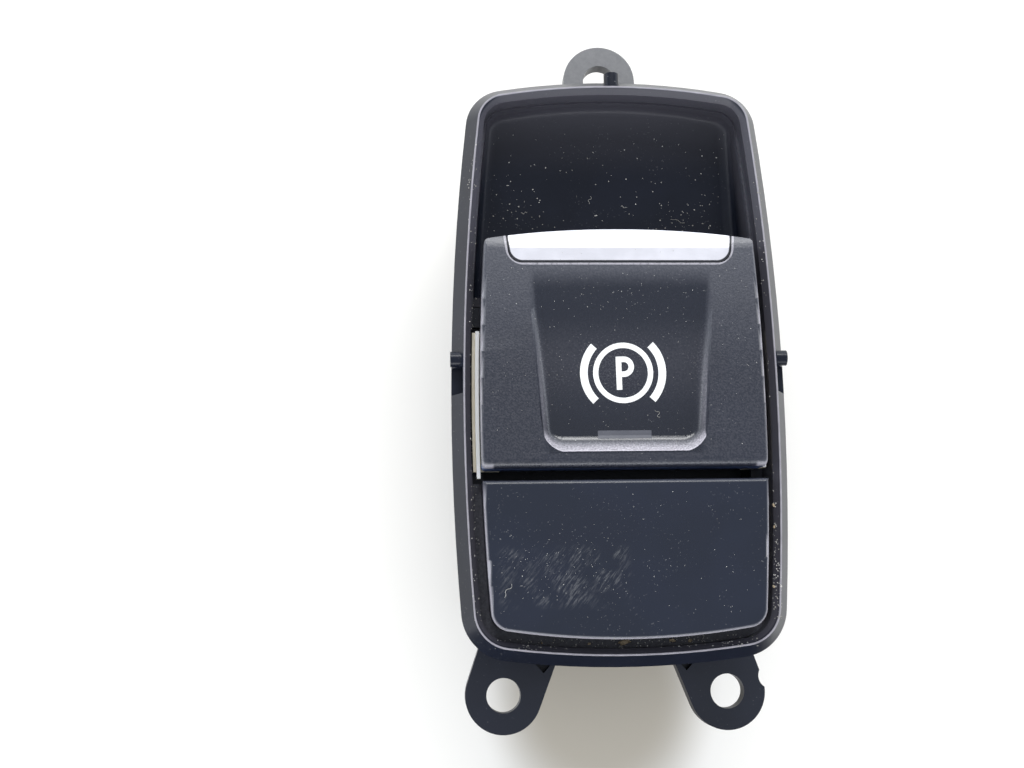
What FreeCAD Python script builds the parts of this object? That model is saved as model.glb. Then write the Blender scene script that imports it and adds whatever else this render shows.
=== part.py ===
import FreeCAD, Part
import math
import os

# Parking brake switch module for a centre console: a rocking lever with a bright lip,
# a fixed blank panel below it and a finger well above it, all inside one raised rim.
# Millimetres. X runs across the panel, Y towards the upper fixing ear, Z out of the front.
# The rear cover lies flat on Z = 0.

# Front rim, seen from the front: two long side arcs, a top arc and a bottom arc
RIM_HALF_WIDTH = 21.25
RIM_TOP = 38.6
RIM_BOTTOM = -39.3
WIDEST_Y = -6.5
SIDE_RADIUS = 346.0
TOP_RADIUS = 95.0
BOTTOM_RADIUS = 120.0
TOP_CORNER = 4.0
BOTTOM_CORNER = 5.0

# Heights above the resting face
RIM_Z = 32.0
RIM_HEIGHT = 2.9
PANEL_PROUD = 2.0
CHANNEL_DEPTH = 3.5
DECK_THICK = 1.5
FLANGE_THICK = 1.6
SKIRT_LENGTH = 8.4

# Bezel section
FLANGE_WIDTH = 1.6
RIM_CREST = 0.15
RIM_SLOPE_WIDTH = 0.75
RIM_SLOPE_DEPTH = 1.0
SKIRT_OUTSET = 0.3
LEDGE_WIDTH = 0.25
WELL_DRAFT = 0.4
WELL_WALL = 1.3
WELL_TOP_DEPTH = 5.4
WELL_MID_DEPTH = 9.6
WELL_LOW_DEPTH = 11.0
WELL_BACK_Y = 9.5
WELL_FILLET = 1.8

# Tools reach this far past the faces that they cut, and joined blocks this far into each other
CUT_OVER = 1.0
JOIN_DEPTH = 0.2

# Locating pegs on the rim
PEG_RADIUS = 1.05
PEG_ROOT = 0.6
PEG_REACH = 1.8
PEG_DROP = 1.6
SIDE_PEG_Y = 0.2
TOP_PEG_X = 0.0
TOP_PEG_REACH = 2.3
RELIEF_LENGTH = 3.7
RELIEF_OUTSET = 0.15

# Lever and blank panel
PANEL_GAP = 2.15
LEVER_FRONT_Y = 17.7
LEVER_CORNER_Y = 16.1
LEVER_FRONT_RADIUS = 0.9
LEVER_BACK_Y = -14.9
LEVER_TO_BLANK = 1.6
BLANK_END_GAP = 2.15
BLANK_CORNER = 2.6
PANEL_WALL = 1.2
CAP_SKIN = 3.0
CAP_SKIRT = 4.4
PANEL_EDGE_RADIUS = 0.6
LEVER_BACK_RADIUS = 1.3
NOSE_DEPTH = 5.3
NOSE_BACK_Y = 11.2
GRIP_RADIUS = 4.0
GRIP_BITE = 1.1
GRIP_BACK = 1.6
BLANK_BULGE = 1.6
LEG_SIDE_INSET = 12.25
LEG_INSET = 4.0
LEG_WIDTH = 5.0
LEG_THICK = 1.3
LEG_GAP = 0.3
LEG_HOOK = 0.7
LEG_HOOK_HEIGHT = 1.8
HOOK_GAP = 0.1
BLANK_SKIN = 1.8

# Thumb dish in the lever
DISH_TOP_INSET = 9.05
DISH_BOTTOM_INSET = 11.15
DISH_FADE_Y = 11.8
DISH_BOTTOM_Y = -12.9
DISH_DEPTH = 1.9
DISH_CORNER = 2.5
DISH_FILLET = 1.6
DISH_SAG = 0.35
DISH_LIFT = 0.2

# Bright lip on the nose
LIP_INSET = 5.7
LIP_TAPER = 0.6
LIP_BACK_Y = 12.8
LIP_BEND_Y = 14.8
LIP_FALL = 1.4
LIP_DROP = 3.8
LIP_THICK = 1.1
LIP_CORNER = 1.8
LIP_SEAM = 0.08
NOSE_OVER = 0.3
NOSE_BULGE = 0.25

# Lever pivot and drive
PIVOT_Y = -6.3
PIVOT_Z = 26.6
PIN_RADIUS = 1.25
PIN_HELD_GAP = 0.02
PIN_TURN_GAP = 0.05
LUG_RADIUS = 2.3
LUG_INSET = 10.05
LUG_WIDTH = 2.6
CHEEK_WIDTH = 1.8
CHEEK_RADIUS = 1.9
CHEEK_FOOT = 3.0
SIDE_PLAY = 0.3
CARRIER_PLATE = 1.8
CARRIER_FRONT_Y = 10.6
CARRIER_PLAY = 0.2
SHOULDER_OUTSET = 1.15
SHOULDER_FRONT_Y = 4.1
RIB_BACK_Y = -15.9
RIB_WIDTH = 0.5
RIB_GAP = 0.1
RIB_HEIGHT = 0.7
STAKE_RADIUS = 1.2
STAKE_GAP = 0.1
STAKE_INSET = 7.65
STAKE_FRONT_Y = 7.0
STAKE_BACK_Y = -11.6
ARM_WIDTH = 3.0
ARM_THICK = 2.4
ARM_LENGTH = 9.4
ARM_TIP_RADIUS = 1.4
ARM_SWING = 2.2

# Centering slider and its springs
SLIDER_WIDTH = 7.4
SLIDER_LENGTH = 12.0
SLIDER_HEIGHT = 5.0
SLIDER_PLAY = 0.3
SLOT_PLAY = 0.12
CHUTE_WALL = 1.3
CHUTE_END = 13.3
CHUTE_TO_GUIDE = 0.5
RAIL_WIDTH = 1.0
RAIL_THICK = 0.6
RAIL_PLAY = 0.1
SPRING_RADIUS = 1.9
SPRING_WIRE = 0.25
SPRING_TURNS = 5
SPRING_END_GAP = 0.2
SPRING_STUB = 1.5
SPRING_STUB_GAP = 0.15
MAGNET_SIZE = 4.0
MAGNET_THICK = 1.6
MAGNET_GAP = 0.05

# Housing
HOUSING_GAP = 0.1
HOUSING_WALL = 1.6
MID_PLATE_Z = 19.0
MID_PLATE_THICK = 1.5
MID_PLATE_FRONT_Y = 7.8
WALL_NOTCH_DEPTH = 1.0
WALL_NOTCH_PLAY = 1.2
FRONT_LATCH_Y = 2.0
REAR_LATCH_Y = -27.0
LATCH_LENGTH = 5.0
LATCH_HEIGHT = 2.0
LATCH_Z = 21.5
LATCH_REACH = 0.8
LATCH_GAP = 0.2

# Fixing ears
EAR_Z = 15.7
EAR_THICK = 2.4
EAR_RADIUS = 5.35
EAR_HOLE_RADIUS = 2.4
TOP_EAR_REACH = 6.45
LOWER_EAR_REACH = 5.75
LOWER_EAR_INSET = 5.5
EAR_ROOT_INWARD = 9.15
EAR_ROOT_OUTWARD = 2.65
EAR_ROOT_DEPTH = 3.0
TOP_EAR_FLARE = 0.3
EAR_NOTCH_RADIUS = 1.8
EAR_NOTCH_X = 6.3
EAR_NOTCH_Y = 2.0
POCKET_WIDTH = 2.9
POCKET_LENGTH = 1.6
POCKET_DEPTH = 1.2
POCKET_INSET = 3.5
POCKET_UNDER = 0.4

# Rear cover, screws and connector
COVER_THICK = 1.8
COVER_LIP = 2.0
COVER_LIP_WALL = 1.2
SCREW_INSET = 6.25
UPPER_SCREW_INSET = 7.6
LOWER_SCREW_INSET = 6.3
BOSS_RADIUS = 2.7
SCREW_RADIUS = 1.1
SCREW_HEAD_RADIUS = 2.1
SCREW_HEAD_HEIGHT = 1.4
SCREW_LENGTH = 9.0
SCREW_POINT = 1.3
HEAD_CROWN = 0.4
RECESS_REACH = 1.15
RECESS_WIDTH = 0.67
RECESS_DEPTH = 0.85
SCREW_GAP = 0.03
SCREW_CLEARANCE = 0.25
SCREW_TIP_ROOM = 0.6
BOSS_ROOF = 2.0
HEAD_SINK = 0.3
SOCKET_Y = 14.0
SOCKET_HALF_X = 9.5
SOCKET_HALF_Y = 3.9
SOCKET_WALL = 1.3
SOCKET_DEPTH = 8.0
KEY_WIDTH = 1.6
KEY_DEPTH = 0.8
PIN_PITCH = 2.54
TERMINAL_SIDE = 0.64
TERMINAL_GAP = 0.06
TERMINAL_TIP_Z = 2.6
TERMINAL_TAIL = 0.8
TERMINAL_COLUMNS = 4

# Circuit board and what it carries
BOARD_Z = 10.4
BOARD_THICK = 1.6
BOARD_SIDE_INSET = 4.85
BOARD_FRONT_INSET = 11.2
BOARD_BACK_INSET = 9.9
BOARD_CORNER = 1.0
BOARD_SCREW_SIDE = 2.9
BOARD_SCREW_BACK = 5.4
BOARD_SCREW_LENGTH = 6.0
BOARD_POST_SIDE = 4.4
BOARD_POST_FRONT = 4.9
BOARD_POST_RADIUS = 1.8
SYMBOL_Y = -2.2
STATUS_Y = -10.45
SYMBOL_GUIDE_RADIUS = 2.3
STATUS_GUIDE_RADIUS = 1.3
GUIDE_BASE_HALF = 2.5
GUIDE_BASE_THICK = 1.5
GUIDE_TOP_GAP = 0.8
GUIDE_PLAY = 0.3
GUIDE_RIM = 0.3
GUIDE_FOOT = 1.2
LED_LENGTH = 2.0
LED_WIDTH = 1.3
LED_HEIGHT = 0.8
SENSOR_LENGTH = 2.9
SENSOR_WIDTH = 1.4
SENSOR_HEIGHT = 1.0
SENSOR_SPREAD = 2.2
CHIP_X = 8.0
CHIP_Y = -13.0
CHIP_SIDE = 5.0
CHIP_HEIGHT = 1.1
PART_CHAMFER = 0.15

# Heights and places worked out from the sizes above
FACE_Z = RIM_Z + PANEL_PROUD
FLANGE_Z = RIM_Z - RIM_HEIGHT
DECK_Z = RIM_Z - CHANNEL_DEPTH
DECK_BOTTOM = DECK_Z - DECK_THICK
SKIRT_BOTTOM = DECK_BOTTOM - SKIRT_LENGTH
CAP_CEILING = FACE_Z - CAP_SKIN
CAP_BOTTOM = FACE_Z - CAP_SKIRT
PLATE_BOTTOM = CAP_CEILING - CARRIER_PLATE
SHOULDER_TOP = PLATE_BOTTOM + JOIN_DEPTH / 2
BOARD_TOP = BOARD_Z + BOARD_THICK
TIP_Z = PIVOT_Z - ARM_LENGTH
SLIDER_TOP = MID_PLATE_Z - SLIDER_PLAY - RAIL_PLAY
SLIDER_BOTTOM = SLIDER_TOP - SLIDER_HEIGHT
BLANK_TOP_Y = LEVER_BACK_Y - LEVER_TO_BLANK
BLANK_BOTTOM_Y = RIM_BOTTOM + BLANK_END_GAP
COVER_PAD_TOP = COVER_THICK + COVER_LIP
TOP_EAR_Y = RIM_TOP + TOP_EAR_REACH
LOWER_EAR_Y = RIM_BOTTOM - LOWER_EAR_REACH
LOWER_EAR_X = RIM_HALF_WIDTH - LOWER_EAR_INSET
DISH_TOP_HALF = RIM_HALF_WIDTH - DISH_TOP_INSET
DISH_BOTTOM_HALF = RIM_HALF_WIDTH - DISH_BOTTOM_INSET
LIP_HALF = RIM_HALF_WIDTH - LIP_INSET
LUG_INNER_X = RIM_HALF_WIDTH - LUG_INSET
STAKE_X = RIM_HALF_WIDTH - STAKE_INSET
LEG_X = RIM_HALF_WIDTH - LEG_SIDE_INSET
SCREW_X = RIM_HALF_WIDTH - SCREW_INSET
UPPER_SCREW_Y = RIM_TOP - UPPER_SCREW_INSET
LOWER_SCREW_Y = RIM_BOTTOM + LOWER_SCREW_INSET
BOARD_HALF_WIDTH = RIM_HALF_WIDTH - BOARD_SIDE_INSET
BOARD_FRONT_Y = RIM_TOP - BOARD_FRONT_INSET
BOARD_BACK_Y = RIM_BOTTOM + BOARD_BACK_INSET
BOARD_SCREW_X = BOARD_HALF_WIDTH - BOARD_SCREW_SIDE
BOARD_SCREW_Y = BOARD_BACK_Y + BOARD_SCREW_BACK
BOARD_POST_X = BOARD_HALF_WIDTH - BOARD_POST_SIDE
BOARD_POST_Y = BOARD_FRONT_Y - BOARD_POST_FRONT
CHUTE_HALF = SLIDER_WIDTH / 2 + SLIDER_PLAY
ARM_X = -(GUIDE_BASE_HALF + CHUTE_TO_GUIDE + CHUTE_WALL + CHUTE_HALF)
CHEEK_X = LUG_INNER_X + LUG_WIDTH + SIDE_PLAY

# How far each outline stands outside (+) or inside (-) the rim crest
INNER_WALL = -(RIM_CREST + RIM_SLOPE_WIDTH)
WELL_LINE = INNER_WALL - LEDGE_WIDTH
PANEL_LINE = -PANEL_GAP
HOUSING_LINE = INNER_WALL - HOUSING_GAP
HOUSING_INNER = HOUSING_LINE - HOUSING_WALL


def vec(x, y, z):
    return FreeCAD.Vector(x, y, z)


def box(x0, x1, y0, y1, z0, z1):
    return Part.makeBox(x1 - x0, y1 - y0, z1 - z0, vec(x0, y0, z0))


def upright_rod(x, y, z0, z1, radius):
    return Part.makeCylinder(radius, z1 - z0, vec(x, y, z0))


def cross_rod(y, z, x0, x1, radius):
    return Part.makeCylinder(radius, x1 - x0, vec(x0, y, z), vec(1, 0, 0))


def long_rod(x, z, y0, y1, radius):
    return Part.makeCylinder(radius, y1 - y0, vec(x, y0, z), vec(0, 1, 0))


def arc(start, middle, end):
    return Part.Arc(start, middle, end).toShape()


def line(start, end):
    return Part.LineSegment(start, end).toShape()


def prism(wire, height):
    return Part.Face(wire).extrude(vec(0, 0, height))


def joined(shapes):
    return shapes[0].multiFuse(shapes[1:]).removeSplitter()


def rounded(shape, radius, wanted):
    edges = [edge for edge in shape.Edges if wanted(edge)]
    return shape.makeFillet(radius, edges)


def is_upright(edge):
    box_of = edge.BoundBox
    return box_of.ZLength > 10 * max(box_of.XLength, box_of.YLength)


def at_height(z):
    return lambda edge: abs(edge.BoundBox.ZMin - z) < JOIN_DEPTH


def upright_behind(y):
    return lambda edge: is_upright(edge) and edge.CenterOfMass.y < y


def side_centre(side):
    return vec(-side * (SIDE_RADIUS - RIM_HALF_WIDTH), WIDEST_Y, 0)


def half_width(y, grow):
    reach = math.sqrt((SIDE_RADIUS + grow) ** 2 - (y - WIDEST_Y) ** 2)
    return reach - (SIDE_RADIUS - RIM_HALF_WIDTH)


def corner_centre(side, end):
    # The corner's centre lies where the side arc and the end arc, both drawn in by its radius, cross.
    radius = TOP_CORNER if end > 0 else BOTTOM_CORNER
    end_radius = TOP_RADIUS if end > 0 else BOTTOM_RADIUS
    end_y = RIM_TOP - TOP_RADIUS if end > 0 else RIM_BOTTOM + BOTTOM_RADIUS
    first = side_centre(side)
    second = vec(0, end_y, 0)
    a = SIDE_RADIUS - radius
    b = end_radius - radius
    apart = (second - first).Length
    along = (a * a - b * b + apart * apart) / (2 * apart)
    across = math.sqrt(a * a - along * along)
    unit = (second - first) * (1 / apart)
    foot = first + unit * along
    options = [foot + vec(-unit.y, unit.x, 0) * across, foot + vec(unit.y, -unit.x, 0) * across]
    return max(options, key=lambda p: p.y * end), first, second, radius, end_radius


def corner_points(side, end, grow, z):
    centre, first, second, radius, end_radius = corner_centre(side, end)
    along_side = (centre - first).normalize()
    along_end = (centre - second).normalize()
    on_side = first + along_side * (SIDE_RADIUS + grow)
    on_end = second + along_end * (end_radius + grow)
    middle = centre + (along_side + along_end).normalize() * (radius + grow)
    return [vec(p.x, p.y, z) for p in (on_side, middle, on_end)]


def rim_wire(grow, z):
    upper_right = corner_points(1, 1, grow, z)
    upper_left = corner_points(-1, 1, grow, z)
    lower_left = corner_points(-1, -1, grow, z)
    lower_right = corner_points(1, -1, grow, z)
    return Part.Wire([
        arc(upper_right[0], upper_right[1], upper_right[2]),
        arc(upper_right[2], vec(0, RIM_TOP + grow, z), upper_left[2]),
        arc(upper_left[2], upper_left[1], upper_left[0]),
        arc(upper_left[0], vec(-RIM_HALF_WIDTH - grow, WIDEST_Y, z), lower_left[0]),
        arc(lower_left[0], lower_left[1], lower_left[2]),
        arc(lower_left[2], vec(0, RIM_BOTTOM - grow, z), lower_right[2]),
        arc(lower_right[2], lower_right[1], lower_right[0]),
        arc(lower_right[0], vec(RIM_HALF_WIDTH + grow, WIDEST_Y, z), upper_right[0]),
    ])


def rim_prism(grow, z0, z1):
    return prism(rim_wire(grow, z0), z1 - z0)


def rim_loft(grow0, z0, grow1, z1):
    return Part.makeLoft([rim_wire(grow0, z0), rim_wire(grow1, z1)], True, True)


def edge_between(start, end, bulge):
    if bulge == 0:
        return line(start, end)
    return arc(start, (start + end) * 0.5 + vec(0, bulge, 0), end)


def panel_prism(y0, y1, grow, z0, z1, back_bulge=0, front_bulge=0):
    # A panel that follows the rim's side arcs between two Y positions.
    middle = (y0 + y1) / 2
    low = half_width(y0, grow)
    high = half_width(y1, grow)
    wide = half_width(middle, grow)
    wire = Part.Wire([
        arc(vec(low, y0, z0), vec(wide, middle, z0), vec(high, y1, z0)),
        edge_between(vec(high, y1, z0), vec(-high, y1, z0), front_bulge),
        arc(vec(-high, y1, z0), vec(-wide, middle, z0), vec(-low, y0, z0)),
        edge_between(vec(-low, y0, z0), vec(low, y0, z0), back_bulge),
    ])
    return prism(wire, z1 - z0)


def well_block(thick, top_z):
    # The finger well with a wall of the given thickness: a side view with a curved floor,
    # kept inside the rim's outline.
    grow = WELL_LINE + thick
    drop = thick
    back_y = WELL_BACK_Y - thick
    front_y = RIM_TOP + grow
    x = -RIM_HALF_WIDTH
    front = vec(x, front_y, RIM_Z - WELL_TOP_DEPTH - drop)
    middle = vec(x, (front_y + back_y) / 2, RIM_Z - WELL_MID_DEPTH - drop)
    back = vec(x, back_y, RIM_Z - WELL_LOW_DEPTH - drop)
    outline = Part.Wire([
        arc(front, middle, back),
        line(back, vec(x, back_y, top_z)),
        line(vec(x, back_y, top_z), vec(x, front_y, top_z)),
        line(vec(x, front_y, top_z), front),
    ])
    block = Part.Face(outline).extrude(vec(2 * RIM_HALF_WIDTH, 0, 0))
    low_z = back.z - CUT_OVER
    return block.common(rim_loft(grow - WELL_DRAFT, low_z, grow, top_z))


def mirrored(shape):
    return shape.mirror(vec(0, 0, 0), vec(1, 0, 0))


def on_both_sides(shape):
    return [shape, mirrored(shape)]


def make_peg(x, y, way, reach):
    root = vec(x, y, RIM_Z - PEG_DROP) - way * PEG_ROOT
    return Part.makeCylinder(PEG_RADIUS, reach + PEG_ROOT, root, way)


def relief_block():
    # The pocket in the rim's outer slope just below each side peg.
    inner = half_width(SIDE_PEG_Y, RELIEF_OUTSET)
    outer = half_width(SIDE_PEG_Y, FLANGE_WIDTH + CUT_OVER)
    top = SIDE_PEG_Y - PEG_RADIUS
    return box(inner, outer, top - RELIEF_LENGTH, top, FLANGE_Z, RIM_Z)


def latch_block(y, grow, reach):
    # A wedge lug on the housing's side wall; grown a little it is the bezel's window for it.
    inner = half_width(y, HOUSING_LINE) - HOUSING_WALL / 2
    outer = half_width(y, HOUSING_LINE) + reach
    start = y - LATCH_LENGTH / 2 - grow
    low = LATCH_Z - grow
    high = LATCH_Z + LATCH_HEIGHT + grow
    profile = [vec(inner, start, low), vec(outer, start, low + LATCH_HEIGHT / 2),
               vec(outer, start, high), vec(inner, start, high)]
    if grow > 0:
        profile[1] = vec(outer, start, low)
    face = Part.Face(Part.makePolygon(profile + profile[:1]))
    return face.extrude(vec(0, LATCH_LENGTH + 2 * grow, 0))


def blank_leg_places():
    for x in (-LEG_X, LEG_X):
        yield x, BLANK_TOP_Y - LEG_INSET, 1
        yield x, BLANK_BOTTOM_Y + LEG_INSET, -1


def make_bezel_frame():
    skirt = rim_prism(SKIRT_OUTSET, SKIRT_BOTTOM, FLANGE_Z)
    flange = rim_prism(FLANGE_WIDTH, FLANGE_Z - FLANGE_THICK, FLANGE_Z)
    slope = rim_loft(FLANGE_WIDTH, FLANGE_Z, 0, RIM_Z)
    channel = rim_prism(INNER_WALL, DECK_Z, RIM_Z - RIM_SLOPE_DEPTH)
    bevel = rim_loft(INNER_WALL, RIM_Z - RIM_SLOPE_DEPTH, -RIM_CREST, RIM_Z)
    under = rim_prism(INNER_WALL, SKIRT_BOTTOM, DECK_BOTTOM)
    frame = skirt.fuse(flange).fuse(slope).cut(channel).cut(bevel).cut(under)
    well = rounded(well_block(0, DECK_Z), WELL_FILLET, lambda edge: edge.BoundBox.ZMax < DECK_BOTTOM
                   and edge.CenterOfMass.y > WELL_BACK_Y + JOIN_DEPTH)
    frame = frame.fuse(well_block(WELL_WALL, DECK_BOTTOM)).cut(well)
    back_y = LEVER_BACK_Y - LEVER_TO_BLANK / 2
    frame = frame.cut(panel_prism(back_y, WELL_BACK_Y + CUT_OVER, WELL_LINE, DECK_BOTTOM, DECK_Z))
    shoulder_slot = panel_prism(
        RIB_BACK_Y - 2 * SIDE_PLAY, SHOULDER_FRONT_Y + 2 * SIDE_PLAY, INNER_WALL, DECK_BOTTOM, DECK_Z,
    )
    frame = frame.cut(shoulder_slot)
    for relief in on_both_sides(relief_block()):
        frame = frame.cut(relief)
    side_peg = make_peg(half_width(SIDE_PEG_Y, 0), SIDE_PEG_Y, vec(1, 0, 0), PEG_REACH)
    top_peg = make_peg(TOP_PEG_X, RIM_TOP, vec(0, 1, 0), TOP_PEG_REACH)
    for peg in on_both_sides(side_peg) + [top_peg]:
        frame = frame.fuse(peg)
    for x, y, way in blank_leg_places():
        reach_x = LEG_WIDTH / 2 + LEG_GAP
        reach_y = LEG_THICK / 2 + LEG_GAP
        slot = box(x - reach_x, x + reach_x, y - reach_y, y + reach_y, DECK_BOTTOM, DECK_Z)
        frame = frame.cut(slot)
    for y in (FRONT_LATCH_Y, REAR_LATCH_Y):
        for window in on_both_sides(latch_block(y, LATCH_GAP, LATCH_REACH + 2 * CUT_OVER)):
            frame = frame.cut(window)
    return frame


def dish_block():
    # The thumb dish: a curved floor that fades out towards the lip, inside a tapering outline.
    low_z = FACE_Z - DISH_DEPTH
    top_z = FACE_Z + 2 * CUT_OVER
    under_z = low_z - CUT_OVER
    front = DISH_FADE_Y + 3 * CUT_OVER
    taper = (DISH_TOP_HALF - DISH_BOTTOM_HALF) / (DISH_FADE_Y - DISH_BOTTOM_Y)
    wide = DISH_TOP_HALF + taper * (front - DISH_FADE_Y)
    corners = [vec(-DISH_BOTTOM_HALF, DISH_BOTTOM_Y, under_z), vec(DISH_BOTTOM_HALF, DISH_BOTTOM_Y, under_z),
               vec(wide, front, under_z), vec(-wide, front, under_z)]
    plan = prism(Part.makePolygon(corners + corners[:1]), top_z - under_z)
    plan = rounded(plan, DISH_CORNER, upright_behind(0))
    x = -RIM_HALF_WIDTH
    rise = FACE_Z + DISH_DEPTH * DISH_LIFT
    sag = vec(x, (LEVER_BACK_Y + front) / 2, low_z + DISH_DEPTH * DISH_SAG)
    profile = Part.Wire([
        arc(vec(x, LEVER_BACK_Y, low_z), sag, vec(x, front, rise)),
        line(vec(x, front, rise), vec(x, front, top_z)),
        line(vec(x, front, top_z), vec(x, LEVER_BACK_Y, top_z)),
        line(vec(x, LEVER_BACK_Y, top_z), vec(x, LEVER_BACK_Y, low_z)),
    ])
    block = Part.Face(profile).extrude(vec(2 * RIM_HALF_WIDTH, 0, 0)).common(plan)
    return rounded(block, DISH_FILLET, lambda edge: edge.BoundBox.ZMax < rise + JOIN_DEPTH
                   and not is_upright(edge) and edge.CenterOfMass.y < front - JOIN_DEPTH)


def lever_prism(grow, z0, z1, back_y=LEVER_BACK_Y, front_y=LEVER_CORNER_Y):
    bulge = LEVER_FRONT_Y - LEVER_CORNER_Y
    block = panel_prism(back_y, front_y, PANEL_LINE + grow, z0, z1, 0, bulge)
    corner_y = front_y - JOIN_DEPTH
    return rounded(block, LEVER_FRONT_RADIUS, lambda edge: is_upright(edge) and edge.CenterOfMass.y > corner_y)


def nose_curve(x):
    # The side view of the nose: it bends down from the flat top and falls away in front.
    bend = vec(x, LIP_BEND_Y, FACE_Z)
    bulge = vec(x, (LIP_BEND_Y + LEVER_FRONT_Y) / 2 + NOSE_BULGE, FACE_Z - LIP_FALL * 0.3)
    fall = vec(x, LEVER_FRONT_Y + NOSE_OVER, FACE_Z - LIP_FALL)
    return bend, bulge, fall


def lip_block(clearance):
    # The bright lip: flat on top, falling away at the front, with a return behind the nose.
    x = -RIM_HALF_WIDTH
    thick = LIP_THICK + clearance
    back = LIP_BACK_Y - clearance
    bottom = FACE_Z - LIP_DROP - clearance
    bend, bulge, fall = nose_curve(x)
    inner = LEVER_CORNER_Y - thick
    profile = Part.Wire([
        line(vec(x, back, FACE_Z - thick), vec(x, back, FACE_Z)),
        line(vec(x, back, FACE_Z), bend),
        arc(bend, bulge, fall),
        line(fall, vec(x, fall.y, bottom)),
        line(vec(x, fall.y, bottom), vec(x, inner, bottom)),
        line(vec(x, inner, bottom), vec(x, inner, FACE_Z - thick)),
        line(vec(x, inner, FACE_Z - thick), vec(x, back, FACE_Z - thick)),
    ])
    block = Part.Face(profile).extrude(vec(2 * RIM_HALF_WIDTH, 0, 0))
    low = LIP_HALF - LIP_TAPER + clearance
    high = LIP_HALF + clearance
    front = fall.y + CUT_OVER
    corners = [vec(-low, back, bottom), vec(low, back, bottom), vec(high, front, bottom),
               vec(-high, front, bottom)]
    plan = prism(Part.makePolygon(corners + corners[:1]), FACE_Z - bottom)
    plan = rounded(plan, LIP_CORNER + clearance, upright_behind(back + CUT_OVER))
    return block.common(plan)


def make_lever_lip():
    return lip_block(0).common(lever_prism(0, CAP_BOTTOM - 2 * CUT_OVER, FACE_Z + CUT_OVER))


def nose_front():
    # What the nose loses in front: the same falling curve as the lip's, across the whole lever.
    x = -RIM_HALF_WIDTH
    bend, bulge, fall = nose_curve(x)
    top = FACE_Z + CUT_OVER
    profile = Part.Wire([
        arc(bend, bulge, fall),
        line(fall, vec(x, fall.y, top)),
        line(vec(x, fall.y, top), vec(x, bend.y, top)),
        line(vec(x, bend.y, top), bend),
    ])
    return Part.Face(profile).extrude(vec(2 * RIM_HALF_WIDTH, 0, 0))


def stake_places():
    for x in (-STAKE_X, STAKE_X):
        for y in (STAKE_BACK_Y, STAKE_FRONT_Y):
            yield x, y


def make_lever_cap():
    front_y = LEVER_FRONT_Y + CUT_OVER
    shell = panel_prism(LEVER_BACK_Y, front_y, PANEL_LINE, CAP_BOTTOM, FACE_Z)
    on_top = at_height(FACE_Z)
    back_edge = LEVER_BACK_Y + JOIN_DEPTH
    shell = rounded(shell, LEVER_BACK_RADIUS, lambda edge: on_top(edge) and edge.BoundBox.YMax < back_edge)
    side_x = RIM_HALF_WIDTH / 2
    shell = rounded(shell, PANEL_EDGE_RADIUS, lambda edge: on_top(edge) and abs(edge.CenterOfMass.x) > side_x)
    shell = shell.common(lever_prism(0, CAP_BOTTOM, FACE_Z))
    inside_back = LEVER_BACK_Y + PANEL_WALL
    inside_line = PANEL_LINE - PANEL_WALL
    shell = shell.cut(panel_prism(inside_back, NOSE_BACK_Y, inside_line, CAP_BOTTOM, CAP_CEILING))
    nose = lever_prism(0, FACE_Z - NOSE_DEPTH, CAP_BOTTOM, NOSE_BACK_Y)
    shell = shell.fuse(nose)
    grip_z = FACE_Z - NOSE_DEPTH - GRIP_RADIUS + GRIP_BITE
    grip = cross_rod(NOSE_BACK_Y + GRIP_BACK, grip_z, -LIP_HALF, LIP_HALF, GRIP_RADIUS)
    shell = shell.cut(grip).cut(nose_front()).cut(dish_block()).cut(lip_block(LIP_SEAM))
    for x, y in stake_places():
        stake = upright_rod(x, y, PLATE_BOTTOM + STAKE_GAP, CAP_CEILING + JOIN_DEPTH, STAKE_RADIUS)
        shell = shell.fuse(stake)
    return shell


def lug_block(x0, x1, top):
    # A rounded lug hanging round the pivot pin.
    lug = cross_rod(PIVOT_Y, PIVOT_Z, x0, x1, LUG_RADIUS)
    return lug.fuse(box(x0, x1, PIVOT_Y - LUG_RADIUS, PIVOT_Y + LUG_RADIUS, PIVOT_Z, top))


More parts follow.
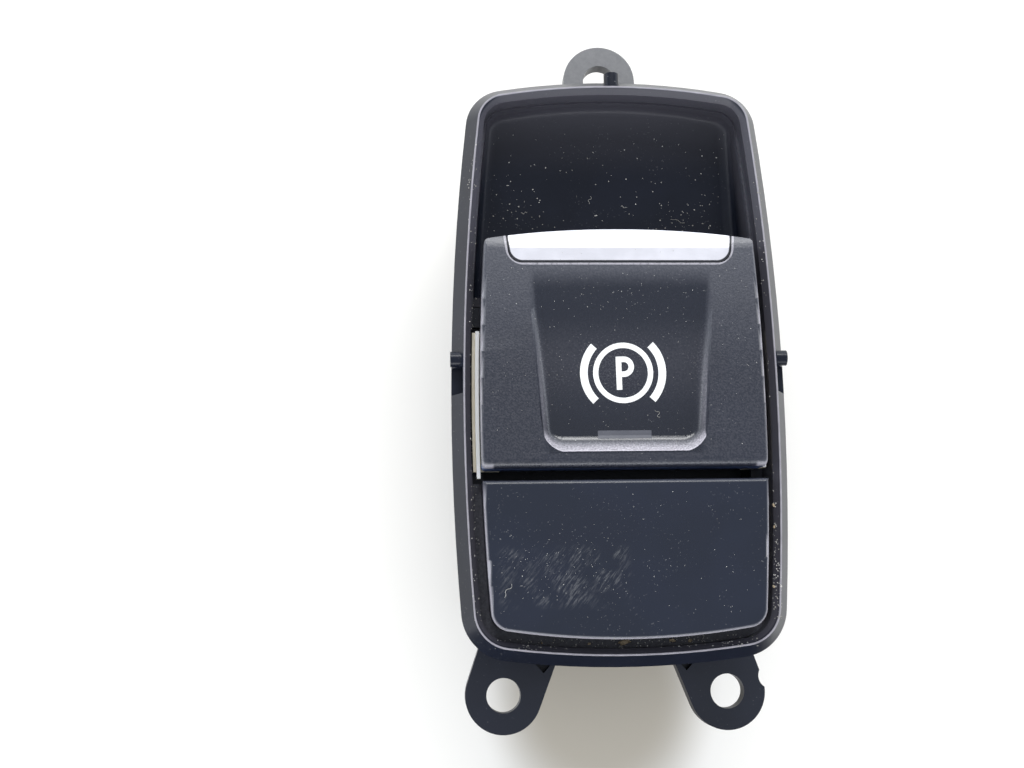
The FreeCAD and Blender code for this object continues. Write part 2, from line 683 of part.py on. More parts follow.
def make_lever_carrier():
    plate_line = PANEL_LINE - PANEL_WALL - CARRIER_PLAY
    plate_back = LEVER_BACK_Y + PANEL_WALL + CARRIER_PLAY
    plate = panel_prism(plate_back, CARRIER_FRONT_Y, plate_line, PLATE_BOTTOM, CAP_CEILING)
    back = LEVER_BACK_Y
    front = SHOULDER_FRONT_Y
    shoulder = panel_prism(back, front, -SHOULDER_OUTSET, PIVOT_Z + PIN_RADIUS + SIDE_PLAY, SHOULDER_TOP)
    core_x = CHEEK_X + CHEEK_WIDTH + 2 * SIDE_PLAY
    core = box(-core_x, core_x, back - CUT_OVER, front + CUT_OVER, MID_PLATE_Z, FACE_Z)
    rib_line = PANEL_LINE + RIB_GAP
    rib_z = SHOULDER_TOP - JOIN_DEPTH
    rib = panel_prism(RIB_BACK_Y, front, rib_line + RIB_WIDTH, rib_z, CAP_BOTTOM + RIB_HEIGHT)
    rib = rib.cut(panel_prism(RIB_BACK_Y - CUT_OVER, front + CUT_OVER, rib_line, PIVOT_Z, FACE_Z))
    carrier = plate.fuse(shoulder.cut(core)).fuse(rib)
    lug_top = PLATE_BOTTOM + JOIN_DEPTH
    for lug in on_both_sides(lug_block(LUG_INNER_X, LUG_INNER_X + LUG_WIDTH, lug_top)):
        carrier = carrier.fuse(lug)
    left = ARM_X - ARM_WIDTH / 2
    right = ARM_X + ARM_WIDTH / 2
    carrier = carrier.fuse(lug_block(left, right, lug_top))
    half = ARM_THICK / 2
    carrier = carrier.fuse(box(left, right, PIVOT_Y - half, PIVOT_Y + half, TIP_Z, PIVOT_Z))
    carrier = carrier.fuse(cross_rod(PIVOT_Y, TIP_Z, left, right, ARM_TIP_RADIUS))
    bore_radius = PIN_RADIUS + PIN_TURN_GAP
    carrier = carrier.cut(cross_rod(PIVOT_Y, PIVOT_Z, -RIM_HALF_WIDTH, RIM_HALF_WIDTH, bore_radius))
    holes = [(x, y, STAKE_RADIUS + STAKE_GAP) for x, y in stake_places()]
    holes.append((0, SYMBOL_Y, SYMBOL_GUIDE_RADIUS + GUIDE_PLAY))
    holes.append((0, STATUS_Y, STATUS_GUIDE_RADIUS + GUIDE_PLAY))
    for x, y, radius in holes:
        carrier = carrier.cut(upright_rod(x, y, PLATE_BOTTOM - CUT_OVER, FACE_Z, radius))
    return carrier


def make_pivot_pin():
    reach = half_width(PIVOT_Y, HOUSING_INNER) - SIDE_PLAY
    pin = cross_rod(PIVOT_Y, PIVOT_Z, -reach, reach, PIN_RADIUS)
    return pin.makeChamfer(PIN_RADIUS / 5, [edge for edge in pin.Edges if edge.BoundBox.XLength < 0.01])


def make_blank_cap():
    bulge = -BLANK_BULGE
    back = BLANK_BOTTOM_Y + BLANK_BULGE
    front = BLANK_TOP_Y
    middle = (back + front) / 2
    shell = panel_prism(back, front, PANEL_LINE, DECK_Z, FACE_Z, bulge, 0)
    shell = rounded(shell, BLANK_CORNER, upright_behind(middle))
    shell = rounded(shell, PANEL_EDGE_RADIUS, at_height(FACE_Z))
    wall_line = PANEL_LINE - PANEL_WALL
    ceiling = FACE_Z - BLANK_SKIN
    inside = panel_prism(back + PANEL_WALL, front - PANEL_WALL, wall_line, DECK_Z, ceiling, bulge, 0)
    shell = shell.cut(rounded(inside, BLANK_CORNER - PANEL_WALL, upright_behind(middle)))
    hook_z = DECK_BOTTOM - HOOK_GAP
    foot_z = DECK_BOTTOM - LEG_HOOK_HEIGHT
    for x, y, way in blank_leg_places():
        left = x - LEG_WIDTH / 2
        half = LEG_THICK / 2
        leg = box(left, left + LEG_WIDTH, y - half, y + half, foot_z, ceiling + JOIN_DEPTH)
        face = y + way * half
        hook = [vec(left, face, hook_z), vec(left, face + way * LEG_HOOK, hook_z), vec(left, face, foot_z)]
        hook = Part.Face(Part.makePolygon(hook + hook[:1])).extrude(vec(LEG_WIDTH, 0, 0))
        shell = shell.fuse(leg).fuse(hook)
    return shell


def screw_places():
    return [(side * SCREW_X, y) for y in (UPPER_SCREW_Y, LOWER_SCREW_Y) for side in (-1, 1)]


def board_screw_places():
    return [(side * BOARD_SCREW_X, BOARD_SCREW_Y) for side in (-1, 1)]


def tangent_point(root, centre, radius, side):
    # Where a straight edge from root touches the ear's circle.
    apart = centre - root
    reach = math.sqrt(apart.Length ** 2 - radius ** 2)
    turn = side * math.asin(radius / apart.Length)
    heading = math.atan2(apart.y, apart.x) + turn
    return root + vec(math.cos(heading), math.sin(heading), 0) * reach


def ear_plate(x, y, left_root, right_root):
    # An ear with a round end and two straight edges that run back to the housing wall.
    centre = vec(x, y, EAR_Z)
    way = 1 if y > 0 else -1
    left = tangent_point(left_root, centre, EAR_RADIUS, way)
    right = tangent_point(right_root, centre, EAR_RADIUS, -way)
    outward = centre * 2 - left_root - right_root
    outward.normalize()
    outline = Part.Wire([
        line(left_root, left),
        arc(left, centre + outward * EAR_RADIUS, right),
        line(right, right_root),
        line(right_root, left_root),
    ])
    return prism(outline, EAR_THICK)


def lower_ear(side):
    root_y = RIM_BOTTOM + EAR_ROOT_DEPTH
    inner_x = LOWER_EAR_X - EAR_ROOT_INWARD
    outer_root = vec(side * (LOWER_EAR_X + EAR_ROOT_OUTWARD), root_y, EAR_Z)
    inner_root = vec(side * inner_x, root_y, EAR_Z)
    roots = (outer_root, inner_root) if side < 0 else (inner_root, outer_root)
    ear = ear_plate(side * LOWER_EAR_X, LOWER_EAR_Y, roots[0], roots[1])
    x = side * (inner_x + POCKET_INSET)
    y = RIM_BOTTOM - FLANGE_WIDTH + POCKET_UNDER
    z = EAR_Z + EAR_THICK - POCKET_DEPTH
    corners = [vec(x - POCKET_WIDTH / 2, y, z), vec(x + POCKET_WIDTH / 2, y, z), vec(x, y - POCKET_LENGTH, z)]
    return ear.cut(prism(Part.makePolygon(corners + corners[:1]), POCKET_DEPTH + CUT_OVER))


def make_ears():
    root_y = RIM_TOP - EAR_ROOT_DEPTH
    root_x = EAR_RADIUS + TOP_EAR_FLARE
    top = ear_plate(0, TOP_EAR_Y, vec(-root_x, root_y, EAR_Z), vec(root_x, root_y, EAR_Z))
    ears = top.fuse(lower_ear(-1)).fuse(lower_ear(1))
    x = LOWER_EAR_X + EAR_NOTCH_X
    y = LOWER_EAR_Y + EAR_NOTCH_Y
    top_z = EAR_Z + EAR_THICK + CUT_OVER
    return ears.cut(upright_rod(x, y, EAR_Z - CUT_OVER, top_z, EAR_NOTCH_RADIUS))


def cheek_block(x0, x1):
    foot_z = PIVOT_Z - CHEEK_RADIUS
    cheek = box(x0, x1, PIVOT_Y - CHEEK_FOOT, PIVOT_Y + CHEEK_FOOT, MID_PLATE_Z, foot_z)
    neck = box(x0, x1, PIVOT_Y - CHEEK_RADIUS, PIVOT_Y + CHEEK_RADIUS, MID_PLATE_Z, PIVOT_Z)
    return cheek.fuse(neck).fuse(cross_rod(PIVOT_Y, PIVOT_Z, x0, x1, CHEEK_RADIUS))


def chute_blocks():
    # Two side walls with ledges and two end walls, hanging under the middle plate.
    bottom = SLIDER_BOTTOM - RAIL_PLAY - RAIL_THICK
    top = MID_PLATE_Z
    y0 = PIVOT_Y - CHUTE_END
    y1 = PIVOT_Y + CHUTE_END
    left = ARM_X - CHUTE_HALF
    right = ARM_X + CHUTE_HALF
    return [
        box(left - CHUTE_WALL, right + CHUTE_WALL, y0 - CHUTE_WALL, y0, bottom, top),
        box(left - CHUTE_WALL, right + CHUTE_WALL, y1, y1 + CHUTE_WALL, bottom, top),
        box(left - CHUTE_WALL, left, y0, y1, bottom, top),
        box(right, right + CHUTE_WALL, y0, y1, bottom, top),
        box(left, left + RAIL_WIDTH, y0, y1, bottom, bottom + RAIL_THICK),
        box(right - RAIL_WIDTH, right, y0, y1, bottom, bottom + RAIL_THICK),
    ]


def make_switch_housing():
    shell = rim_prism(HOUSING_LINE, COVER_THICK, DECK_BOTTOM)
    shell = shell.cut(rim_prism(HOUSING_INNER, COVER_THICK, DECK_BOTTOM))
    shell = shell.fuse(make_ears().cut(rim_prism(HOUSING_LINE - HOUSING_WALL / 2, 0, RIM_Z)))
    plate = rim_prism(HOUSING_INNER + HOUSING_WALL / 2, MID_PLATE_Z, MID_PLATE_Z + MID_PLATE_THICK)
    plate = plate.common(box(-RIM_HALF_WIDTH, RIM_HALF_WIDTH, RIM_BOTTOM, MID_PLATE_FRONT_Y, 0, RIM_Z))
    shell = shell.cut(well_block(WELL_WALL + HOUSING_GAP, DECK_BOTTOM)).fuse(plate)
    for cheek in on_both_sides(cheek_block(CHEEK_X, CHEEK_X + CHEEK_WIDTH)):
        shell = shell.fuse(cheek)
    for block in chute_blocks():
        shell = shell.fuse(block)
    for x, y in screw_places():
        top = MID_PLATE_Z if y < 0 else COVER_PAD_TOP + SCREW_LENGTH + BOSS_ROOF
        boss = upright_rod(x, y, COVER_PAD_TOP, top, BOSS_RADIUS)
        shell = shell.fuse(boss.common(rim_prism(HOUSING_LINE, COVER_PAD_TOP, top)))
    for x, y in board_screw_places():
        shell = shell.fuse(upright_rod(x, y, BOARD_TOP, MID_PLATE_Z, BOSS_RADIUS))
    for y in (FRONT_LATCH_Y, REAR_LATCH_Y):
        for lug in on_both_sides(latch_block(y, 0, LATCH_REACH)):
            shell = shell.fuse(lug)
    return cut_housing(shell)


def cut_housing(shell):
    cheek_x = CHEEK_X + CHEEK_WIDTH + HOUSING_GAP
    notch_back = RIB_BACK_Y - WALL_NOTCH_PLAY
    notch_front = SHOULDER_FRONT_Y + WALL_NOTCH_PLAY
    notch_z = DECK_BOTTOM - WALL_NOTCH_DEPTH
    for notch in on_both_sides(box(cheek_x, RIM_HALF_WIDTH, notch_back, notch_front, notch_z, DECK_Z)):
        shell = shell.cut(notch)
    shell = shell.cut(cross_rod(PIVOT_Y, PIVOT_Z, -cheek_x, cheek_x, PIN_RADIUS + PIN_HELD_GAP))
    half = ARM_WIDTH / 2 + 2 * SIDE_PLAY
    room = ARM_THICK / 2 + ARM_SWING
    plate_top = MID_PLATE_Z + MID_PLATE_THICK
    shell = shell.cut(box(ARM_X - half, ARM_X + half, PIVOT_Y - room, PIVOT_Y + room, MID_PLATE_Z, plate_top))
    for y, radius in ((SYMBOL_Y, SYMBOL_GUIDE_RADIUS), (STATUS_Y, STATUS_GUIDE_RADIUS)):
        shell = shell.cut(upright_rod(0, y, MID_PLATE_Z, plate_top, radius + GUIDE_PLAY))
    bore = SCREW_RADIUS + SCREW_GAP
    for x, y in screw_places():
        shell = shell.cut(upright_rod(x, y, COVER_PAD_TOP, COVER_PAD_TOP + SCREW_LENGTH, bore))
    for x, y in board_screw_places():
        shell = shell.cut(upright_rod(x, y, BOARD_TOP, BOARD_TOP + BOARD_SCREW_LENGTH, bore))
    for x, y in ((0, TOP_EAR_Y), (-LOWER_EAR_X, LOWER_EAR_Y), (LOWER_EAR_X, LOWER_EAR_Y)):
        hole = upright_rod(x, y, EAR_Z - CUT_OVER, EAR_Z + EAR_THICK + CUT_OVER, EAR_HOLE_RADIUS)
        shell = shell.cut(hole)
    return shell


def terminal_places():
    for row in (-1, 1):
        for column in range(TERMINAL_COLUMNS):
            yield (column - (TERMINAL_COLUMNS - 1) / 2) * PIN_PITCH, SOCKET_Y + row * PIN_PITCH / 2


def square_bar(x, y, z0, z1, side):
    return box(x - side / 2, x + side / 2, y - side / 2, y + side / 2, z0, z1)


def make_rear_cover():
    cover = rim_prism(HOUSING_LINE, 0, COVER_THICK)
    lip_line = HOUSING_INNER - HOUSING_GAP
    lip = rim_prism(lip_line, COVER_THICK, COVER_PAD_TOP)
    cover = cover.fuse(lip.cut(rim_prism(lip_line - COVER_LIP_WALL, COVER_THICK, COVER_PAD_TOP)))
    for x, y in screw_places():
        pad = upright_rod(x, y, 0, COVER_PAD_TOP, BOSS_RADIUS).common(rim_prism(lip_line, 0, COVER_PAD_TOP))
        cover = cover.fuse(pad)
    for side in (-1, 1):
        post_x = side * BOARD_POST_X
        cover = cover.fuse(upright_rod(post_x, BOARD_POST_Y, COVER_THICK, BOARD_Z, BOARD_POST_RADIUS))
    half_x = SOCKET_HALF_X
    low = SOCKET_Y - SOCKET_HALF_Y
    high = SOCKET_Y + SOCKET_HALF_Y
    wall = SOCKET_WALL
    roof = SOCKET_DEPTH + wall
    cover = cover.fuse(box(-half_x - wall, half_x + wall, low - wall, high + wall, 0, roof))
    cover = cover.cut(box(-half_x, half_x, low, high, 0, SOCKET_DEPTH))
    for x in (-half_x / 2, half_x / 2):
        cover = cover.cut(box(x - KEY_WIDTH / 2, x + KEY_WIDTH / 2, high, high + KEY_DEPTH, 0, SOCKET_DEPTH))
    for x, y in terminal_places():
        cover = cover.cut(square_bar(x, y, SOCKET_DEPTH, roof, TERMINAL_SIDE + 2 * TERMINAL_GAP))
    head_room = SCREW_HEAD_RADIUS + SCREW_CLEARANCE
    for x, y in screw_places():
        cover = cover.cut(upright_rod(x, y, 0, HEAD_SINK + SCREW_HEAD_HEIGHT, head_room))
        cover = cover.cut(upright_rod(x, y, 0, COVER_PAD_TOP, SCREW_RADIUS + SCREW_CLEARANCE))
    return cover


def make_screw(x, y, head_z, tip_z):
    # A pan-head self-tapping screw driven upwards, with a cross recess and a pointed end.
    head = upright_rod(x, y, head_z, head_z + SCREW_HEAD_HEIGHT, SCREW_HEAD_RADIUS)
    crown = SCREW_HEAD_HEIGHT * HEAD_CROWN
    head = rounded(head, crown, lambda edge: edge.BoundBox.ZMax < head_z + JOIN_DEPTH)
    point_z = tip_z - SCREW_POINT
    shank = upright_rod(x, y, head_z + SCREW_HEAD_HEIGHT, point_z, SCREW_RADIUS)
    tip = Part.makeCone(SCREW_RADIUS, SCREW_RADIUS / 4, SCREW_POINT, vec(x, y, point_z))
    arm = RECESS_REACH
    slot = RECESS_WIDTH / 2
    low = head_z - CUT_OVER
    high = head_z + RECESS_DEPTH
    cross = box(x - arm, x + arm, y - slot, y + slot, low, high)
    cross = cross.fuse(box(x - slot, x + slot, y - arm, y + arm, low, high))
    return head.fuse(shank).fuse(tip).cut(cross)


def make_circuit_board():
    board = box(-BOARD_HALF_WIDTH, BOARD_HALF_WIDTH, BOARD_BACK_Y, BOARD_FRONT_Y, BOARD_Z, BOARD_TOP)
    board = rounded(board, BOARD_CORNER, is_upright)
    for x, y in board_screw_places():
        board = board.cut(upright_rod(x, y, BOARD_Z, BOARD_TOP, SCREW_RADIUS + SCREW_CLEARANCE))
    for x, y in terminal_places():
        board = board.cut(square_bar(x, y, BOARD_Z, BOARD_TOP, TERMINAL_SIDE + 2 * TERMINAL_GAP))
    return board


def make_centering_slider():
    x0 = ARM_X - SLIDER_WIDTH / 2
    x1 = ARM_X + SLIDER_WIDTH / 2
    y0 = PIVOT_Y - SLIDER_LENGTH / 2
    y1 = PIVOT_Y + SLIDER_LENGTH / 2
    slider = box(x0, x1, y0, y1, SLIDER_BOTTOM, SLIDER_TOP)
    half_y = ARM_TIP_RADIUS + SLOT_PLAY
    half_x = ARM_WIDTH / 2 + SIDE_PLAY
    slot_z = TIP_Z - ARM_TIP_RADIUS - 2 * SLOT_PLAY
    slot = box(ARM_X - half_x, ARM_X + half_x, PIVOT_Y - half_y, PIVOT_Y + half_y, slot_z, SLIDER_TOP)
    slider = slider.cut(slot)
    half = MAGNET_SIZE / 2 + MAGNET_GAP
    pocket_top = SLIDER_BOTTOM + MAGNET_THICK
    slider = slider.cut(square_bar(ARM_X, PIVOT_Y, SLIDER_BOTTOM, pocket_top, 2 * half))
    stub_radius = SPRING_RADIUS - 2 * SPRING_WIRE - SPRING_STUB_GAP
    for start, end in ((y0 - SPRING_STUB, y0), (y1, y1 + SPRING_STUB)):
        slider = slider.fuse(long_rod(ARM_X, spring_z(), start, end, stub_radius))
    return slider


def spring_z():
    return (SLIDER_TOP + SLIDER_BOTTOM) / 2


def make_spring(y0, y1):
    # A compression spring wound round an axis along Y.
    length = y1 - y0 - 2 * (SPRING_END_GAP + SPRING_WIRE)
    helix = Part.makeHelix(length / SPRING_TURNS, length, SPRING_RADIUS)
    section = Part.Wire(Part.makeCircle(SPRING_WIRE, vec(SPRING_RADIUS, 0, 0), vec(0, 1, 0)))
    coil = Part.Wire(helix.Edges).makePipeShell([section], True, True)
    coil.rotate(vec(0, 0, 0), vec(1, 0, 0), -90)
    coil.translate(vec(ARM_X, y0 + SPRING_END_GAP + SPRING_WIRE, spring_z()))
    return coil


def make_light_guide():
    base_z = BOARD_TOP + LED_HEIGHT + GUIDE_PLAY
    top = PLATE_BOTTOM - GUIDE_TOP_GAP
    y0 = STATUS_Y - STATUS_GUIDE_RADIUS - GUIDE_RIM
    y1 = SYMBOL_Y + SYMBOL_GUIDE_RADIUS + GUIDE_RIM
    guide = box(-GUIDE_BASE_HALF, GUIDE_BASE_HALF, y0, y1, base_z, base_z + GUIDE_BASE_THICK)
    guide = guide.fuse(upright_rod(0, SYMBOL_Y, base_z, top, SYMBOL_GUIDE_RADIUS))
    guide = guide.fuse(upright_rod(0, STATUS_Y, base_z, top, STATUS_GUIDE_RADIUS))
    foot_y = (y0 + y1 - GUIDE_FOOT) / 2
    top_z = base_z + JOIN_DEPTH
    foot = box(-GUIDE_BASE_HALF, GUIDE_BASE_HALF, foot_y, foot_y + GUIDE_FOOT, BOARD_TOP, top_z)
    return guide.fuse(foot)


def board_part(x, y, length, width, height):
    top = BOARD_TOP + height
    part = box(x - length / 2, x + length / 2, y - width / 2, y + width / 2, BOARD_TOP, top)
    on_top = at_height(top)
    return part.makeChamfer(height * PART_CHAMFER, [edge for edge in part.Edges if on_top(edge)])


def parts():
    slider_end = SLIDER_LENGTH / 2
    magnet = square_bar(ARM_X, PIVOT_Y, SLIDER_BOTTOM, SLIDER_BOTTOM + MAGNET_THICK, MAGNET_SIZE)
    sensor = (SENSOR_LENGTH, SENSOR_WIDTH, SENSOR_HEIGHT)
    solids = {
        "bezel_frame": make_bezel_frame(),
        "lever_cap": make_lever_cap(),
        "lever_lip": make_lever_lip(),
        "lever_carrier": make_lever_carrier(),
        "pivot_pin": make_pivot_pin(),
        "blank_cap": make_blank_cap(),
        "switch_housing": make_switch_housing(),
        "rear_cover": make_rear_cover(),
        "circuit_board": make_circuit_board(),
        "centering_slider": make_centering_slider(),
        "sensor_magnet": magnet,
        "front_centering_spring": make_spring(PIVOT_Y + slider_end, PIVOT_Y + CHUTE_END),
        "rear_centering_spring": make_spring(PIVOT_Y - CHUTE_END, PIVOT_Y - slider_end),
        "light_guide": make_light_guide(),
        "symbol_led": board_part(0, SYMBOL_Y, LED_LENGTH, LED_WIDTH, LED_HEIGHT),
        "status_led": board_part(0, STATUS_Y, LED_LENGTH, LED_WIDTH, LED_HEIGHT),
        "hall_sensor_a": board_part(ARM_X, PIVOT_Y - SENSOR_SPREAD, *sensor),
        "hall_sensor_b": board_part(ARM_X, PIVOT_Y + SENSOR_SPREAD, *sensor),
        "control_chip": board_part(CHIP_X, CHIP_Y, CHIP_SIDE, CHIP_SIDE, CHIP_HEIGHT),
    }
    tail_z = BOARD_TOP + TERMINAL_TAIL
    for number, (x, y) in enumerate(terminal_places(), 1):
        solids[f"terminal_pin_{number}"] = square_bar(x, y, TERMINAL_TIP_Z, tail_z, TERMINAL_SIDE)
    case_tip = COVER_PAD_TOP + SCREW_LENGTH - SCREW_TIP_ROOM
    for number, (x, y) in enumerate(screw_places(), 1):
        solids[f"case_screw_{number}"] = make_screw(x, y, HEAD_SINK, case_tip)
    board_tip = BOARD_TOP + BOARD_SCREW_LENGTH - SCREW_TIP_ROOM
    for number, (x, y) in enumerate(board_screw_places(), 1):
        solids[f"board_screw_{number}"] = make_screw(x, y, BOARD_Z - SCREW_HEAD_HEIGHT, board_tip)
    return solids


os.makedirs("parts", exist_ok=True)
for name, solid in parts().items():
    solid.exportStep(f"parts/{name}.step")
    print(f"{name}: {solid.Volume:.1f} mm3, {len(solid.Solids)} solid, valid {solid.isValid()}")
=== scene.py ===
import math
import random

import bmesh
import bpy
from mathutils import Matrix, Vector
from mathutils.bvhtree import BVHTree


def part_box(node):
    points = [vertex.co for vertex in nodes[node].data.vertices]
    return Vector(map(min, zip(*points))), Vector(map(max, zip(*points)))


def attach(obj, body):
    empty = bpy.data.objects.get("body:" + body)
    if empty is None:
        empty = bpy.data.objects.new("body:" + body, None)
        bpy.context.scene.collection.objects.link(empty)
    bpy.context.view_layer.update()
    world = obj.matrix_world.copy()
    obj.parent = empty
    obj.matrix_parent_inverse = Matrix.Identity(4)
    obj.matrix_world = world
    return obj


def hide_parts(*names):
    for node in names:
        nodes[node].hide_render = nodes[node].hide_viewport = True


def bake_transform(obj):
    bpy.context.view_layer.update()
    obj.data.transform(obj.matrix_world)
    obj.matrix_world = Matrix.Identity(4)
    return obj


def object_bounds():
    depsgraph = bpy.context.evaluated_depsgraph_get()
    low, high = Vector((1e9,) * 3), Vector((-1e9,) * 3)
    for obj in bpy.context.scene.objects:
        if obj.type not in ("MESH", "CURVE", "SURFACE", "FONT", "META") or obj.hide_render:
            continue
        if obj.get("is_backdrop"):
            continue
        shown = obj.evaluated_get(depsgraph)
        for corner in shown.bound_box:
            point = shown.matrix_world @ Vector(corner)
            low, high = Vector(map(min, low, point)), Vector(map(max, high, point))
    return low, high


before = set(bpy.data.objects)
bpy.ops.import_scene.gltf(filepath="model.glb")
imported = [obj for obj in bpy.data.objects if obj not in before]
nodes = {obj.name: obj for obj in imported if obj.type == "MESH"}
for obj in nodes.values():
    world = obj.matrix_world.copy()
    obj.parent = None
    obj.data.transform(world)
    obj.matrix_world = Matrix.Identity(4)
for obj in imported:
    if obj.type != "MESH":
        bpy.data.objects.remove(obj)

# Parking brake switch for a centre console, dressed over its frame. Sizes in the dictionaries are
# millimetres and are turned into metres where a mesh is made.
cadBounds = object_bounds()
mm = 0.001


def say(stage):
    print("stage:", stage)


def tone(red, green, blue):  # a colour written as 0 to 255, made linear
    parts = []
    for value in (red, green, blue):
        share = value / 255
        parts.append(share / 12.92 if share <= 0.04045 else ((share + 0.055) / 1.055) ** 2.4)
    return (*parts, 1.0)


# Shader maths: a socket that adds, multiplies and compares by making Math nodes
class Wire:
    def __init__(self, maker, out):
        self.maker = maker
        self.out = out

    def maths(self, operation, *others):
        values = {index: value for index, value in enumerate((self, *others))}
        return self.maker.add("ShaderNodeMath", {"operation": operation}, values)

    def __add__(self, other):
        return self.maths("ADD", other)

    def __sub__(self, other):
        return self.maths("SUBTRACT", other)

    def __rsub__(self, other):
        return self.maker.add("ShaderNodeMath", {"operation": "SUBTRACT"}, {0: other, 1: self})

    def __mul__(self, other):
        return self.maths("MULTIPLY", other)

    def over(self, low, high):  # 0 below low, 1 above high, smooth between
        values = {"Value": self, "From Min": low, "From Max": high}
        return self.maker.add("ShaderNodeMapRange", {"interpolation_type": "SMOOTHSTEP"}, values)

    def between(self, low, high, soft):  # 1 from low to high, fading over soft at both ends
        return self.over(low - soft, low) * (1 - self.over(high, high + soft))

    def size(self):
        return self.maths("ABSOLUTE")

    def upTo(self, other):
        return self.maths("MINIMUM", other)

    def cornered(self, other):  # the length of the two taken as a step across and a step along, 0 or more
        across = self.maths("MAXIMUM", 0.0)
        along = other.maths("MAXIMUM", 0.0)
        return (across * across + along * along).maths("SQRT")


# A node tree that is filled by one method, for materials and for geometry
class Tree:
    def __init__(self, tree):
        self.tree = tree

    def add(self, kind, settings=None, values=None, output=0):
        node = self.tree.nodes.new(kind)
        for key, value in (settings or {}).items():
            if key == "stops":
                ramp = node.color_ramp
                for index, (place, level) in enumerate(value):
                    stop = ramp.elements[index] if index < 2 else ramp.elements.new(place)
                    stop.position = place
                    stop.color = (level, level, level, 1)
            else:
                setattr(node, key, value)
        for key, value in (values or {}).items():
            if isinstance(value, Wire):
                self.tree.links.new(value.out, node.inputs[key])
            else:
                node.inputs[key].default_value = value
        return Wire(self, node.outputs[output]) if node.outputs else None


class Finish(Tree):
    def __init__(self, name, world=None):
        self.data = world or bpy.data.materials.new(name)
        self.data.use_nodes = True
        super().__init__(self.data.node_tree)
        self.tree.nodes.clear()

    def place(self):  # object coordinates: metres in the part's own frame
        return self.add("ShaderNodeTexCoord", output="Object")

    def axis(self, name):  # one coordinate in millimetres
        return self.add("ShaderNodeSeparateXYZ", None, {0: self.place()}, name) * (1 / mm)

    def noise(self, size, detail=2.0, rough=0.5, stretch=None, turn=0.0):  # size of its grains in mm
        vector = self.place()
        if stretch or turn:
            spin = self.add("ShaderNodeMapping", None, {"Vector": vector, "Rotation": (0, 0, turn)})
            vector = self.add("ShaderNodeMapping", None, {"Vector": spin, "Scale": stretch or (1, 1, 1)})
        values = {"Vector": vector, "Scale": 1 / (size * mm), "Detail": detail, "Roughness": rough}
        return self.add("ShaderNodeTexNoise", None, values, "Fac")

    def blend(self, share, first, second):
        values = {"Factor": share, 6: first, 7: second}
        return self.add("ShaderNodeMix", {"data_type": "RGBA"}, values, 2)

    def bump(self, height, depth):  # depth in mm
        return self.add("ShaderNodeBump", None, {"Height": height, "Distance": depth * mm})

    def surface(self, values):
        shader = self.add("ShaderNodeBsdfPrincipled", None, values)
        self.add("ShaderNodeOutputMaterial", None, {"Surface": shader})
        return self.data


# Camera at the photograph's angle
view = {
    "place": (-26.15, -31.48, 203.0),
    "forward": (0.06541, 0.16139, -0.98472),
    "up": (0.00569, 0.98676, 0.16210),
    "lens": 45.7,
    "sensor": 36.0,
    "clip": (0.01, 10),  # metres
}


def linked(name, data):
    thing = bpy.data.objects.new(name, data)
    bpy.context.scene.collection.objects.link(thing)
    return thing


def settled(thing, name):  # the plain mesh of an object with its modifiers or bevel; the object goes
    mesh = bpy.data.meshes.new_from_object(thing.evaluated_get(bpy.context.evaluated_depsgraph_get()))
    mesh.name = name
    bpy.data.objects.remove(thing)
    return mesh


def makeCamera():
    data = bpy.data.cameras.new("camera")
    camera = linked("camera", data)
    forward = Vector(view["forward"]).normalized()
    right = forward.cross(Vector(view["up"])).normalized()
    up = right.cross(forward)
    turn = Matrix((right, up, -forward)).transposed().to_4x4()
    camera.matrix_world = Matrix.Translation(Vector(view["place"]) * mm) @ turn
    data.lens = view["lens"]
    data.sensor_width = view["sensor"]
    data.clip_start, data.clip_end = view["clip"]
    bpy.context.scene.camera = camera


# A white table in a pale room: bright all round at the height of the horizon, darker overhead, one
# wide lamp behind the upper ear and one in front, and a dark card on the near side that only gloss
# sees. A lamp is its place, width, height and power.
studio = {
    "lamps": {
        "key": ((15, 385, 385), 420, 130, 2.2),
        "front": ((-60, -450, 175), 420, 130, 0.8),
    },
    # Height from 0 at the horizon to 1 overhead, and the brightness there
    "sky": ((0.0, 1.0), (0.25, 0.9), (0.45, 0.24), (0.7, 0.2), (1.0, 0.19)),
    "skyLevel": 3.1,
    "skyTone": (240, 246, 255),
    "floorHalf": 3000,
    "floorTone": (252, 249, 242),
    "floorGlow": 0.25,
    "shade": (0, -46, 17, 20),  # centre and half sizes of the shadow painted warm on the table
    "shadeFade": (0.25, 1.3),  # of the half sizes, squared
    "shadeTone": (200, 192, 177),
    "cardTone": (20, 20, 26),
    "cardRough": 0.9,
    "cardY": -58,
    "cardHalf": 60,
    "cardTop": 33,
}


def stageMesh(name, corners, material):
    mesh = bpy.data.meshes.new(name)
    mesh.from_pydata([Vector(corner) * mm for corner in corners], [], [(0, 1, 2, 3)])
    mesh.materials.append(material)
    thing = linked(name, mesh)
    thing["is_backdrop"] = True
    return thing


